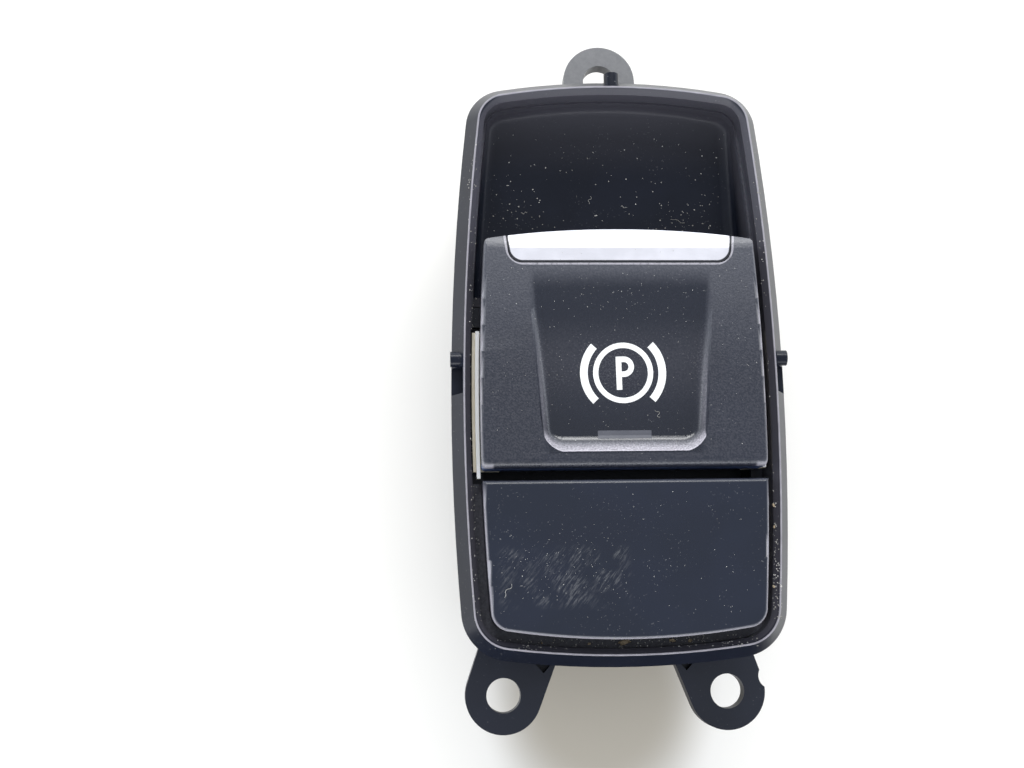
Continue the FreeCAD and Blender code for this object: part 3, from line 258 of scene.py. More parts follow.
def makeRoom():
    for name, (place, wide, high, power) in studio["lamps"].items():
        data = bpy.data.lights.new(name, "AREA")
        data.shape = "RECTANGLE"
        data.size = wide * mm
        data.size_y = high * mm
        data.energy = power
        lamp = linked(name, data)
        spot = Vector(place) * mm
        turn = (-spot).to_track_quat("-Z", "Y").to_matrix().to_4x4()
        lamp.matrix_world = Matrix.Translation(spot) @ turn
    world = bpy.data.worlds.new("room")
    bpy.context.scene.world = world
    room = Finish("room", world)
    aim = room.add("ShaderNodeTexCoord", output="Generated")
    height = room.add("ShaderNodeSeparateXYZ", None, {0: aim}, "Z")
    seen = room.add("ShaderNodeLightPath", output="Is Camera Ray")
    level = room.add("ShaderNodeValToRGB", {"stops": studio["sky"]}, {0: height}) * studio["skyLevel"]
    strength = level * (1 - seen) + seen
    values = {"Color": tone(*studio["skyTone"]), "Strength": strength}
    light = room.add("ShaderNodeBackground", None, values)
    room.add("ShaderNodeOutputWorld", None, {"Surface": light})


def makeFloor():
    table = Finish("table")
    camera = table.add("ShaderNodeLightPath", output="Is Camera Ray")
    glossy = table.add("ShaderNodeLightPath", output="Is Glossy Ray")
    clear = table.add("ShaderNodeLightPath", output="Is Transmission Ray")
    seen = (camera + glossy + clear).upTo(1.0)
    # A painted shadow: the table is coloured darker and warmer under the part, with no glow there
    x, y, wide, deep = studio["shade"]
    across = (table.axis("X") - x) * (1 / wide)
    along = (table.axis("Y") - y) * (1 / deep)
    shade = 1 - (across * across + along * along).over(*studio["shadeFade"])
    colour = table.blend(shade, tone(*studio["floorTone"]), tone(*studio["shadeTone"]))
    cloth = table.add("ShaderNodeBsdfDiffuse", None, {"Color": colour})
    glow = table.add("ShaderNodeEmission", None, {"Color": (1, 1, 1, 1), "Strength": 1.0})
    share = seen * (1 - shade) * studio["floorGlow"]
    mixed = table.add("ShaderNodeMixShader", None, {0: share, 1: cloth, 2: glow})
    table.add("ShaderNodeOutputMaterial", None, {"Surface": mixed})
    half = studio["floorHalf"]
    stageMesh("floor", [(-half, -half, 0), (half, -half, 0), (half, half, 0), (-half, half, 0)], table.data)


def makeCard():
    # The card stands in for the shade on the near side: only gloss sees it, and it darkens the reflections
    # there
    dark = Finish("shade")
    dark.surface({"Base Color": tone(*studio["cardTone"]), "Roughness": studio["cardRough"]})
    y = studio["cardY"]
    half = studio["cardHalf"]
    top = studio["cardTop"]
    card = stageMesh("card", [(-half, y, 0), (-half, y, top), (half, y, top), (half, y, 0)], dark.data)
    card.visible_camera = False
    card.visible_diffuse = False
    card.visible_shadow = False


makeCamera()
makeRoom()
makeFloor()
makeCard()
bpy.context.scene.view_settings.view_transform = "Standard"
say("camera, lamp, room and table")

# Finishes. A look's zones lighten or darken a place on the piece: "paintedSheen" is a painted sheen,
# lighter along Y, that stands in for the lamp's reflection, "dish" the smooth thumb dish, "heel" the
# dish's wall and "edge" that wall's upper line, both with wear and a painted highlight, "sides" the
# roll of the sides and "seam" the line round the trim, both with wear and a painted highlight,
# "backWall" painted light on the wall in the gap, "inner" painted light on the slope and well inside
# the crest, "deck" dust and painted light on the channel floor, "crest" wear and a painted highlight
# on the crest, "lightening" the lighter top of the upper ear, "hatch" the scuffed strokes and
# "paintedLitTop" the carrier's top, painted whiter where light falls over a beige that stands for
# shade and yellowing. Besides the zones, "mottle" is a fine unevenness over the whole piece.
looks = {
    "bezelPlastic": {
        "colour": (23, 27, 39), "second": (19, 23, 34), "grain": 0.25, "grainDepth": 0.004,
        "rough": 0.3, "roughSpread": 0.06, "dust": 0.35, "dustFrom": 0.66, "shine": 0.25,
        # painted light: a lighter tone on the slope and well inside the crest, where shade falls
        "inner": (23.2, 26.8), "innerTone": (70, 69, 76),
        # the channel floor: dust and painted light; the crest: wear and a painted highlight
        "deck": (27.6, 29.2), "deckDustAndLight": 0.5, "crest": (31.88, 31.98), "crestWearAndHighlight": 0.75,
    },
    "leverPlastic": {
        "colour": (28, 32, 45), "second": (24, 28, 41), "grain": 0.26, "grainDepth": 0.045,
        # painted sheen: the lever grows lighter towards +Y, standing in for the lamp's reflection
        "paintedSheen": (-4, 22), "paintedSheenTone": (68, 70, 78),
        "rough": 0.42, "roughSpread": 0.1, "dust": 0.5, "dustFrom": 0.68, "mottle": 0.7, "coat": 0.3,
        "dish": (12.4, 10.6, -12.9, 11.4), "dishTone": (22, 26, 38), "dishRough": 0.26,
        # wear and a painted highlight on the dish's wall and on its upper line
        "heel": (32.25, 33.5), "heelTop": (33.88, 33.95), "heelWearAndHighlight": 0.95,
        "edge": (33.78, 33.96), "edgeWearAndHighlight": 0.7,
        # wear and a painted highlight on the roll of the sides
        "sides": (17.3, 17.7), "sideRoll": (33.5, 33.92), "sideEnd": (6, 12), "sideWearAndHighlight": 0.5,
        # the line round the trim: wear and a painted highlight; the wall in the gap: painted light, lifting
        # its shade
        "seam": 0.6, "backWall": (32.2, 33.2), "paintedGapLightTone": (84, 102, 146),
    },
    "blankPlastic": {
        "colour": (24, 30, 45), "second": (21, 27, 41), "grain": 0.24, "grainDepth": 0.004,
        "rough": 0.32, "roughSpread": 0.05, "dust": 0.45, "dustFrom": 0.67,
        "hatch": (-15.6, -1.4, -32.0, -26.2), "hatchWear": 0.22,
        # wear and a painted highlight on the roll of the sides
        "sides": (-2, -1), "sideRoll": (33.7, 33.98), "sideEnd": (-20, -16), "sideWearAndHighlight": 0.5,
    },
    "casePlastic": {
        "colour": (28, 32, 45), "second": (24, 28, 40), "grain": 0.3, "grainDepth": 0.006,
        "rough": 0.42, "roughSpread": 0.08, "dust": 0.4, "dustFrom": 0.69,
        # the top of the upper ear is made lighter
        "lightening": (41.0, 43.0), "lighteningAmount": 0.5,
    },
    "whitePlastic": {
        "colour": (244, 242, 236), "second": (236, 233, 224), "grain": 0.3, "grainDepth": 0.004,
        "rough": 0.45, "roughSpread": 0.06, "dust": 0.3, "dustFrom": 0.72, "dustTone": (150, 140, 120),
    },
    "carrierPlastic": {
        "colour": (254, 246, 224), "second": (248, 238, 214), "grain": 0.3, "grainDepth": 0.006,
        "rough": 0.5, "roughSpread": 0.06, "dust": 0.3, "dustFrom": 0.7, "dustTone": (150, 140, 120),
        # painted light: the carrier's top is whiter, where light falls, over a beige that stands for shade and
        # yellowing
        "paintedLitTop": (29.45, 29.6), "paintedLitTopTone": (252, 252, 250),
    },
    "boardLacquer": {
        "colour": (24, 84, 52), "second": (20, 74, 46), "grain": 0.6, "grainDepth": 0.01,
        "rough": 0.35, "roughSpread": 0.06, "dust": 0.2, "dustFrom": 0.75,
    },
    "chipResin": {
        "colour": (34, 34, 36), "second": (28, 28, 30), "grain": 0.12, "grainDepth": 0.006,
        "rough": 0.55, "roughSpread": 0.05, "dust": 0.2, "dustFrom": 0.75,
    },
    "lampPlastic": {
        "colour": (235, 225, 170), "second": (240, 236, 215), "grain": 0.2, "grainDepth": 0.004,
        "rough": 0.3, "roughSpread": 0.05, "dust": 0.1, "dustFrom": 0.8,
    },
    "magnetFerrite": {
        "colour": (70, 70, 74), "second": (60, 60, 64), "grain": 0.15, "grainDepth": 0.008,
        "rough": 0.4, "roughSpread": 0.06, "dust": 0.2, "dustFrom": 0.75,
    },
    "signPaint": {
        "colour": (250, 250, 248), "second": (244, 244, 240), "grain": 0.12, "grainDepth": 0.002,
        "rough": 0.5, "roughSpread": 0.05, "dust": 0.2, "dustFrom": 0.74, "dustTone": (170, 168, 160),
    },
    "windowPlastic": {
        "colour": (104, 105, 112), "second": (78, 80, 88), "grain": 0.1, "grainDepth": 0.012,
        "rough": 0.5, "roughSpread": 0.1, "dust": 0.3, "dustFrom": 0.7, "mottle": 0.9,
    },
    "dustGrit": {
        "colour": (214, 212, 206), "second": (150, 147, 140), "grain": 0.05, "grainDepth": 0.01,
        "rough": 0.85, "roughSpread": 0.08, "dust": 0.3, "dustFrom": 0.6,
    },
    "crumbGrit": {
        "colour": (206, 190, 160), "second": (168, 146, 118), "grain": 0.12, "grainDepth": 0.03,
        "rough": 0.85, "roughSpread": 0.08, "dust": 0.4, "dustFrom": 0.6,
    },
}
dustTone = (150, 150, 150)
# the colour of the dust and painted light on the channel floor
deckDustAndLightTone = (104, 106, 114)
# the pale lilac of the edges' wear and painted highlights, also of the mottle's lighter grains
crestTone = (196, 192, 199)
seamTone = (16, 18, 26)

# Where the zones of the looks end and how softly, in mm
fades = {
    "dishSide": (-0.1, 0.8),
    "dishBack": 0.4,
    "dishFront": (2.4, 0.8),
    "dishWearAndHighlight": (0.0, 0.1),
    "wallCorner": (-11.0, -9.6),
    "wearAndHighlightFront": (-8, 6),
    "edge": 0.03,
    "inside": 0.3,
    "roll": (32.6, 33.3),
    "deck": 0.2,
    "deckFront": (30, 34),
    "seam": (0.1, 0.3, 0.1),
    "seamDirt": (-0.34, -0.22),
    "backWall": (0.5, 0.9),
    "hatchSide": 2.0,
    "hatchEnd": 1.5,
}
# Noises: the size of their grains in mm, detail, roughness, stretch and turn
noises = {
    "cloud": (9, 3),
    "speck": (0.3, 2.0, 0.7),
    "speckPatch": (7, 2),
    "seam": (0.5, 3.0, 0.7),
    "deck": (0.5, 3.0, 0.7),
    "lightening": (0.8, 3.0, 0.7),
    "crest": (1.5, 2.0),
    "stroke": (0.24, 3.0, 0.75, (1, 0.14, 1), math.radians(38)),
    "strokePatch": (3.0, 2.0),
    "metalCloud": (4, 2),
    "clearCloud": (3, 2),
}
grainDetail = (1.5, 0.6)
# How far a noise is spread between its darkest and lightest places
spreads = {
    "cloud": (0.35, 0.65),
    "grain": (0.3, 0.7),
    "speck": 0.06,
    "speckPatch": (0.4, 0.6),
    "seam": (0.2, 0.55),
    "stroke": (0.46, 0.66),
    "strokePatch": (0.36, 0.56),
}
# Shares: what the dish loses of the grain and mottle, what its side walls lose of their wear and
# painted highlight, the mottle's middle and strength, the spread and least of the upper ear's
# lightening, and what dust and coat add to roughness
shares = {
    "dishGrain": 0.9,
    "dishMottle": 0.85,
    "wall": 0.72,
    "mottleMiddle": 0.3,
    "mottle": 0.05,
    "lightening": (0.6, 0.7),
    "dustRough": 0.4,
    "coatRough": 0.25,
}


def dishMask(finish, zone):  # its half widths at the front and back, its back Y and front Y
    wide, narrow, back, front = zone
    y = finish.axis("Y")
    half = (y - back) * ((wide - narrow) / (front - back)) + narrow
    side = (half - finish.axis("X").size()).over(*fades["dishSide"])
    before, after = fades["dishFront"]
    return side * y.over(back - fades["dishBack"], back) * (1 - y.over(front - before, front + after))


# Wear and a painted highlight on the dish's wall and its upper line, less on the side walls and fading towards
# +Y
def dishWearAndHighlight(finish, look, inDish, grain):
    y = finish.axis("Y")
    z = finish.axis("Z")
    wall = z.over(*look["heel"]) * (1 - z.over(*look["heelTop"]))
    wall = wall * (1 - y.over(*fades["wallCorner"]) * shares["wall"])
    line = z.between(*look["edge"], fades["edge"])
    wearAndHighlight = (wall * look["heelWearAndHighlight"] + line * look["edgeWearAndHighlight"]) * inDish.over(*fades["dishWearAndHighlight"])
    wearAndHighlight = wearAndHighlight * (1 - y.over(*fades["wearAndHighlightFront"])) * (grain.over(*spreads["grain"]) * 0.5 + 0.5)
    return wearAndHighlight.upTo(1.0)


# The crest's outline as the bezel's finish sees it
crestLine = {
    "half": 21.18,
    "bulgeY": -6.0,
    "curve": 0.00148,
    "long": 38.85,
    "middleY": -0.35,
    "endCurve": 0.0047,
    "corner": 3.6,
}


def insideMask(finish):  # 1 on the slope, deck and well inside the crest
    corner = crestLine["corner"]
    x = finish.axis("X")
    y = finish.axis("Y")
    off = y - crestLine["bulgeY"]
    across = x.size() + off * off * crestLine["curve"] - (crestLine["half"] - corner)
    along = (y - crestLine["middleY"]).size() + x * x * crestLine["endCurve"] - (crestLine["long"] - corner)
    return 1 - across.cornered(along).over(corner - fades["inside"], corner)


# The trim's outline: its half width at the near edge, which grows with Y
trimLine = {"half": 14.95, "growth": 0.122, "near": 12.8, "corner": 1.8}


def trimReach(finish):  # mm outside the trim's outline, and below 0 near its inner side
    corner = trimLine["corner"]
    y = finish.axis("Y")
    half = (y - trimLine["near"]) * trimLine["growth"] + (trimLine["half"] - corner)
    return (finish.axis("X").size() - half).cornered((trimLine["near"] + corner) - y) - corner


# Wear and a painted highlight on the roll of the sides
def sideWearAndHighlightMask(finish, look):
    z = finish.axis("Z")
    roll = (1 - z.over(*look["sideRoll"])) * z.over(*fades["roll"])
    along = 1 - finish.axis("Y").over(*look["sideEnd"])
    return finish.axis("X").size().over(*look["sides"]) * roll * along


# Wear and a painted highlight in a line round the trim
def seamWearAndHighlightMask(finish):
    unevenness = finish.noise(*noises["seam"]).over(*spreads["seam"])
    return trimReach(finish).between(*fades["seam"]) * unevenness


# Painted light on the lever's back wall in the gap, which lies in shade
def paintedGapLightMask(finish, look):
    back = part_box("lever_cap")[0].y / mm
    start, end = fades["backWall"]
    below = 1 - finish.axis("Z").over(*look["backWall"])
    return (1 - finish.axis("Y").over(back + start, back + end)) * below


# Dust and painted light on the channel floor inside the crest
def deckDustAndLightMask(finish, look):
    lightening = finish.noise(*noises["deck"]).over(*spreads["grain"])
    level = finish.axis("Z").between(*look["deck"], fades["deck"])
    return lightening * level * (1 - finish.axis("Y").over(*fades["deckFront"])) * insideMask(finish)


def hatchMask(finish, zone):  # its left, right, back and front
    left, right, back, front = zone
    strokes = finish.noise(*noises["stroke"]).over(*spreads["stroke"])
    patches = finish.noise(*noises["strokePatch"]).over(*spreads["strokePatch"])
    across = finish.axis("X").between(left, right, fades["hatchSide"])
    return strokes * patches * across * finish.axis("Y").between(back, front, fades["hatchEnd"])


def plastic(name, look):
    finish = Finish(name)
    cloud = finish.noise(*noises["cloud"])
    grain = finish.noise(look["grain"], *grainDetail)
    crest = tone(*crestTone)
    colour = finish.blend(cloud.over(*spreads["cloud"]), tone(*look["colour"]), tone(*look["second"]))
    depth = grain
    base = look["rough"] - look["roughSpread"]
    inDish = None
    # Painted sheen: lighter towards +Y, standing in for the lamp's reflection
    if "paintedSheen" in look:
        colour = finish.blend(finish.axis("Y").over(*look["paintedSheen"]), colour, tone(*look["paintedSheenTone"]))
    if "dish" in look:
        inDish = dishMask(finish, look["dish"])
        depth = grain * (1 - inDish * shares["dishGrain"])
        base = inDish * (look["dishRough"] - look["rough"]) + base
        colour = finish.blend(inDish, colour, tone(*look["dishTone"]))
        # Wear and a painted highlight on the dish's wall and its upper line
        colour = finish.blend(dishWearAndHighlight(finish, look, inDish, grain), colour, crest)
    if "mottle" in look:
        mottle = (grain.over(*spreads["cloud"]) - 0.5) * look["mottle"] + shares["mottleMiddle"]
        if inDish:
            mottle = mottle * (1 - inDish * shares["dishMottle"])
        colour = finish.blend(mottle.upTo(1.0) * shares["mottle"], colour, crest)
    # Painted light on the slope and well inside the crest
    if "inner" in look:
        inner = insideMask(finish) * finish.axis("Z").over(*look["inner"])
        colour = finish.blend(inner, colour, tone(*look["innerTone"]))
    # Wear and a painted highlight on the roll of the sides
    if "sides" in look:
        colour = finish.blend(sideWearAndHighlightMask(finish, look) * look["sideWearAndHighlight"], colour, crest)
    # Wear and a painted highlight in a line round the trim
    if "seam" in look:
        colour = finish.blend(seamWearAndHighlightMask(finish) * look["seam"], colour, crest)
    # Painted light on the wall in the gap
    if "backWall" in look:
        colour = finish.blend(paintedGapLightMask(finish, look), colour, tone(*look["paintedGapLightTone"]))
    # Painted light: the carrier's top made whiter, where light falls
    if "paintedLitTop" in look:
        colour = finish.blend(finish.axis("Z").over(*look["paintedLitTop"]), colour, tone(*look["paintedLitTopTone"]))
    # Dust and painted light on the channel floor
    if "deck" in look:
        colour = finish.blend(deckDustAndLightMask(finish, look) * look["deckDustAndLight"], colour, tone(*deckDustAndLightTone))
    # The top of the upper ear made lighter, unevenly
    if "lightening" in look:
        spread, least = shares["lightening"]
        lightening = (finish.noise(*noises["lightening"]) * spread + least) * finish.axis("Y").over(*look["lightening"])
        colour = finish.blend((lightening * look["lighteningAmount"]).upTo(1.0), colour, tone(*dustTone))
    speck = finish.noise(*noises["speck"]).over(look["dustFrom"], look["dustFrom"] + spreads["speck"])
    dusty = speck * finish.noise(*noises["speckPatch"]).over(*spreads["speckPatch"]) * look["dust"]
    if "hatch" in look:
        dusty = (dusty + hatchMask(finish, look["hatch"]) * look["hatchWear"]).upTo(1.0)
    colour = finish.blend(dusty, colour, tone(*look.get("dustTone", dustTone)))
    # Wear and a painted highlight along the crest
    if "crest" in look:
        wearAndHighlight = finish.axis("Z").over(*look["crest"]) * (finish.noise(*noises["crest"]) * 0.5 + 0.5)
        colour = finish.blend(wearAndHighlight * look["crestWearAndHighlight"], colour, crest)
    rough = (grain + cloud) * look["roughSpread"] + base
    return finish.surface({
        "Base Color": colour,
        "Roughness": (rough + dusty * shares["dustRough"]).upTo(1.0),
        "Specular IOR Level": look.get("shine", 0.5),
        "Coat Weight": look.get("coat", 0.0),
        "Coat Roughness": shares["coatRough"],
        "Normal": finish.bump(depth, look["grainDepth"]),
    })


# Metals: "metal" is the metallic share, "stretch" draws the grain out, and "seam" is dirt along the
# trim's inner side
metals = {
    "satinTrim": {"colour": (226, 225, 231), "rough": 0.38, "metal": 0.5, "seam": True},
    "screwSteel": {"colour": (168, 166, 160), "rough": 0.32, "metal": 1.0},
    "tinnedBrass": {"colour": (196, 190, 172), "rough": 0.3, "metal": 1.0, "stretch": (1, 1, 0.2)},
}
# The metals' grain: its size, detail and roughness, how much it spreads the gloss, its depth in mm,
# and how dark the darker places are
metalGrain = {"noise": (0.15, 2, 0.6), "spread": 0.12, "depth": 0.002, "darker": 0.94}


def metal(name, look):
    finish = Finish(name)
    colour = look["colour"]
    share = look["metal"]
    grain = finish.noise(*metalGrain["noise"], look.get("stretch", (1, 1, 1)))
    cloud = finish.noise(*noises["metalCloud"])
    darker = [value * metalGrain["darker"] for value in colour]
    shown = finish.blend(cloud.over(*spreads["grain"]), tone(*colour), tone(*darker))
    if "seam" in look:
        dirt = trimReach(finish).over(*fades["seamDirt"])
        shown = finish.blend(dirt, shown, tone(*seamTone))
        share = (1 - dirt) * share
    return finish.surface({
        "Base Color": shown,
        "Metallic": share,
        "Roughness": grain * metalGrain["spread"] + (look["rough"] - metalGrain["spread"] / 2),
        "Normal": finish.bump(grain, metalGrain["depth"]),
    })


clearLook = {
    "colour": (235, 238, 240), "second": (220, 226, 230), "rough": 0.08, "roughSpread": 0.1,
    "clear": 0.9, "bend": 1.49,
}


def clearPlastic(name, look):
    finish = Finish(name)
    cloud = finish.noise(*noises["clearCloud"])
    return finish.surface({
        "Base Color": finish.blend(cloud, tone(*look["colour"]), tone(*look["second"])),
        "Roughness": cloud * look["roughSpread"] + look["rough"],
        "Transmission Weight": look["clear"],
        "IOR": look["bend"],
    })


finishes = {name: plastic(name, look) for name, look in looks.items()}
for name, look in metals.items():
    finishes[name] = metal(name, look)
finishes["guideAcrylic"] = clearPlastic("guideAcrylic", clearLook)
say("finishes")

# Carried nodes: the slot of the record and the finish that each takes
carried = {
    "pivot_pin": ("steel", "screwSteel"),
    "circuit_board": ("board_green", "boardLacquer"),
    "centering_slider": ("white_plastic", "whitePlastic"),
    "sensor_magnet": ("magnet_dark", "magnetFerrite"),
    "light_guide": ("clear_plastic", "guideAcrylic"),
    "symbol_led": ("led_white", "lampPlastic"),
    "status_led": ("led_white", "lampPlastic"),
    "hall_sensor_a": ("chip_black", "chipResin"),
    "hall_sensor_b": ("chip_black", "chipResin"),
    "control_chip": ("chip_black", "chipResin"),
    **{f"terminal_pin_{number}": ("tinned_brass", "tinnedBrass") for number in range(1, 9)},
    **{f"case_screw_{number}": ("steel", "screwSteel") for number in range(1, 5)},
    **{f"board_screw_{number}": ("steel", "screwSteel") for number in range(1, 3)},
}


def paint(piece, finish):
    piece.data.materials.clear()
    piece.data.materials.append(finishes[finish])


for name, (slot, finish) in carried.items():
    paint(nodes[name], finish)
say("carried nodes")


def addPiece(name, mesh, body, finish):
    piece = linked(name, mesh)
    paint(piece, finish)
    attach(piece, body)
    print(name, len(mesh.polygons), "faces")
    return piece


# Moulded pieces: the frame's own forms with their edges rounded as a mould leaves them. A row is the
# node, body, slot, finish and edge radius.
moulded = {
    "bezelMoulding": ("bezel_frame", "housing", "bezel_black", "bezelPlastic", 0.14),
    "housingShell": ("switch_housing", "housing", "housing_black", "casePlastic", 0.14),
    "rearCoverShell": ("rear_cover", "housing", "housing_black", "casePlastic", 0.12),
    "blankPanel": ("blank_cap", "housing", "panel_black", "blankPlastic", 0.1),
    "leverShell": ("lever_cap", "lever", "panel_black", "leverPlastic", 0.09),
    "leverTrim": ("lever_lip", "lever", "satin_metal_trim", "satinTrim", 0.12),
    "carrierMoulding": ("lever_carrier", "lever", "white_plastic", "carrierPlastic", 0.1),
}

# The thumb dish: the frame has its place and depth, and here its walls get their long soft slope.
# An outline is the half width at the near end, its growth per mm and its corner, and a foot is the
# rounding at the foot of the wall. The old ones are the frame's. The floor is its height along Y.
dish = {
    "near": -12.9,
    "far": 11.8,
    "last": 12.0,
    "low": 32.0,
    "face": 34.0,
    "oldOutline": (10.1, 0.085, 2.5),
    "outline": (10.85, 0.073, 3.2),
    "ease": 5.0,  # over this length the wider outline comes back to the frame's at the far end
    "oldFoot": 1.6,
    "foot": (1.6, 2.6),  # on the sides, at the near end
    "floor": ((-12.9, 32.17), (-11, 32.18), (-9, 32.25), (-6.2, 32.38), (-3.3, 32.54), (-0.4, 32.74),
              (2.4, 32.97), (5.3, 33.24), (8.2, 33.55), (11.8, 34.0)),
    "fade": (5.0, 10.5),  # between these Ys the dish gets shallower
    "fadeLeft": 0.2,  # share of the depth that stays beyond the fade
    "margin": 16.0,  # half width beyond which nothing moves
    "play": 0.12,  # points this near the frame's outline count as on it
    "level": 0.004,  # points this near the face count as on it
    "step": 0.01,  # for the slope of the distance, and slack at the near end
    "least": 0.01,  # keeps the foot's reach above 0
}


def outside(outline, x, y):  # signed distance in mm to the dish's outline, below 0 inside it
    half, growth, corner = outline
    across = abs(x) - half - (y - dish["near"]) * growth + corner
    along = dish["near"] - y + corner
    return math.hypot(max(across, 0), max(along, 0)) + min(max(across, along), 0) - corner


def outward(x, y):  # the direction in which that distance grows
    step = dish["step"]
    across = outside(dish["outline"], x + step, y) - outside(dish["outline"], x - step, y)
    along = outside(dish["outline"], x, y + step) - outside(dish["outline"], x, y - step)
    return across / (2 * step), along / (2 * step)


def dishFloor(y):
    rows = dish["floor"]
    for (low, first), (high, second) in zip(rows, rows[1:]):
        if y <= high:
            return first + (second - first) * max(0, (y - low) / (high - low))
    return dish["face"]


def dishHalves(y):  # half widths at y: the frame's and the wider one
    reach = y - dish["near"]
    half, growth = dish["oldOutline"][:2]
    wideHalf, wideGrowth = dish["outline"][:2]
    old = half + reach * growth
    more = wideHalf - half + reach * (wideGrowth - growth)
    return old, old + more * min((dish["far"] - y) / dish["ease"], 1)


def wallShare(x, y, z):  # 0 at the top of the frame's wall, 1 at its foot
    inward = 0 if z > dish["face"] - dish["level"] else max(-outside(dish["oldOutline"], x, y), 0)
    depth = dish["face"] - dishFloor(y)
    radius = dish["oldFoot"]
    reach = radius if depth > radius else math.sqrt(max(radius ** 2 - (radius - depth) ** 2, dish["least"]))
    return inward / reach


def softened(x, y, z):
    old, half = dishHalves(y)
    if abs(x) > old + dish["play"]:
        share = (dish["margin"] - abs(x)) / (dish["margin"] - old)
        return x + math.copysign((half - old) * share, x), y, z
    wideX = x * half / old
    if outside(dish["oldOutline"], x, y) > dish["play"]:
        return wideX, y, z
    share = wallShare(x, y, z)
    x = wideX
    if share < 1:
        slopeX, slopeY = outward(x, y)
        side, near = dish["foot"]
        push = share * (side + (near - side) * slopeY ** 2) + outside(dish["outline"], x, y)
        x -= slopeX * push
        y -= slopeY * push
    start, end = dish["fade"]
    fade = min(max((end - y) / (end - start), 0), 1)
    left = dish["fadeLeft"]
    depth = (dish["face"] - dishFloor(y)) * (left + (1 - left) * fade * fade * (3 - 2 * fade))
    return x, y, dish["face"] - depth * (1 - max(1 - share, 0) ** 2)


def softenDish(mesh):
    start = dish["near"] - dish["step"]
    for vert in mesh.vertices:
        x, y, z = vert.co / mm
        if z >= dish["low"] and start <= y <= dish["last"] and abs(x) <= dish["margin"]:
            vert.co = Vector(softened(x, y, z)) * mm


rib = {"low": 27.0, "side": 19.0, "edge": 19.75, "back": -14.7}


def trimRib(mesh):  # the right-hand rib stays hidden behind the cap
    for vert in mesh.vertices:
        x, y, z = vert.co / mm
        if x > rib["side"] and z > rib["low"]:
            vert.co.x = min(x, rib["edge"]) * mm
            vert.co.y = max(y, rib["back"]) * mm


# Edges: points this near in mm are joined, faces this level or even are flat, and an edge is sharp or
# rounded from these angles on
edges = {
    "join": 0.004,
    "even": math.radians(0.2),
    "level": 0.99999,
    "sharp": math.radians(16),
    "round": math.radians(32),
    "segments": 2,
    "weight": 100,
}


def markEdges(solid):  # the shading of a level face stays flat to its edge
    solid.normal_update()
    for face in solid.faces:
        face.smooth = True
    for edge in solid.edges:
        flats = sum(face.normal.z > edges["level"] for face in edge.link_faces)
        edge.smooth = edge.calc_face_angle(0.0) < edges["sharp"] and flats != 1


def mouldCopy(name, node, body, slot, finish, edgeWidth):
    mesh = nodes[node].data.copy()
    mesh.name = name
    if node == "lever_cap":
        softenDish(mesh)
    if node == "lever_carrier":
        trimRib(mesh)
    solid = bmesh.new()
    solid.from_mesh(mesh)
    bmesh.ops.remove_doubles(solid, verts=solid.verts, dist=edges["join"] * mm)
    if node != "lever_cap":
        bmesh.ops.dissolve_limit(solid, angle_limit=edges["even"], verts=solid.verts, edges=solid.edges)
    markEdges(solid)
    solid.to_mesh(mesh)
    solid.free()
    piece = linked(name + "Source", mesh)
    edge = piece.modifiers.new("edges", "BEVEL")
    edge.width = edgeWidth * mm
    edge.segments = edges["segments"]
    edge.limit_method = "ANGLE"
    edge.angle_limit = edges["round"]
    edge.use_clamp_overlap = True
    edge.miter_outer = "MITER_ARC"
    level = piece.modifiers.new("flats", "WEIGHTED_NORMAL")
    level.weight = edges["weight"]
    level.keep_sharp = True
    shown = addPiece(name, settled(piece, name), body, finish)
    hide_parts(node)
    return shown


pieces = {name: mouldCopy(name, *recipe) for name, recipe in moulded.items()}
say("moulded pieces")

# The centering springs: copies of the frame's springs in steel, left where they are; their ends are sorted by
# distance from the slider but not used
springs = {"frontSpring": "front_centering_spring", "rearSpring": "rear_centering_spring"}


def makeSpring(name, node):
    spring = linked(name, nodes[node].data.copy())
    paint(spring, "screwSteel")
    low, high = [Vector(corner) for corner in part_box(node)]
    slider = sum((Vector(corner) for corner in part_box("centering_slider")), Vector()) / 2
    middle = (low + high) / 2
    ends = [Vector((middle.x, y, middle.z)) for y in (low.y, high.y)]
    ends.sort(key=lambda end: -(end - slider).length)
    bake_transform(spring)
    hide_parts(node)


for name, node in springs.items():
    makeSpring(name, node)
say("springs")

# What lies on the surfaces is dropped on them from above
under = {"lever": ("leverShell", "leverTrim"), "housing": ("bezelMoulding", "blankPanel", "housingShell")}
layer = bpy.context.evaluated_depsgraph_get()
surfaces = {}
for body, names in under.items():
    surfaces[body] = [BVHTree.FromObject(pieces[name], layer) for name in names]
dropFrom = 60


def drop(body, x, y):  # the highest point under (x, y) in mm, with its normal
    hits = []
    for tree in surfaces[body]:
        point, normal = tree.ray_cast(Vector((x, y, dropFrom)) * mm, Vector((0, 0, -1)))[:2]
        if point:
            hits.append((point.z / mm, normal))
    return max(hits, key=lambda hit: hit[0]) if hits else None


# The brake sign and the lamp window: thin prints laid on the lever's dish
sign = {
    "centre": (0.12, -2.13),
    "turn": 1.3,  # degrees
    "ringRadius": 3.7,
    "ringStroke": 0.72,
    "ringSteps": 96,
    "bracketRadius": 5.3,
    "bracketStroke": 1.04,
    "bracketReach": 44,  # degrees to each side
    "bracketSteps": 36,
    "letterStem": (-0.57, 2.2, -2.26),  # centre line X, top and bottom Y
    "letterStroke": 0.75,
    "stemSteps": 16,
    "bowlReach": 0.32,
    "bowlRadius": 1.0,
    "bowlSteps": 20,
    "barSteps": 4,
    "thick": 0.02,
    "sink": 0.04,
    "across": 5,
}
lampWindow = {"left": -3.45, "right": 3.75, "back": -10.95, "front": -9.85, "steps": 24}


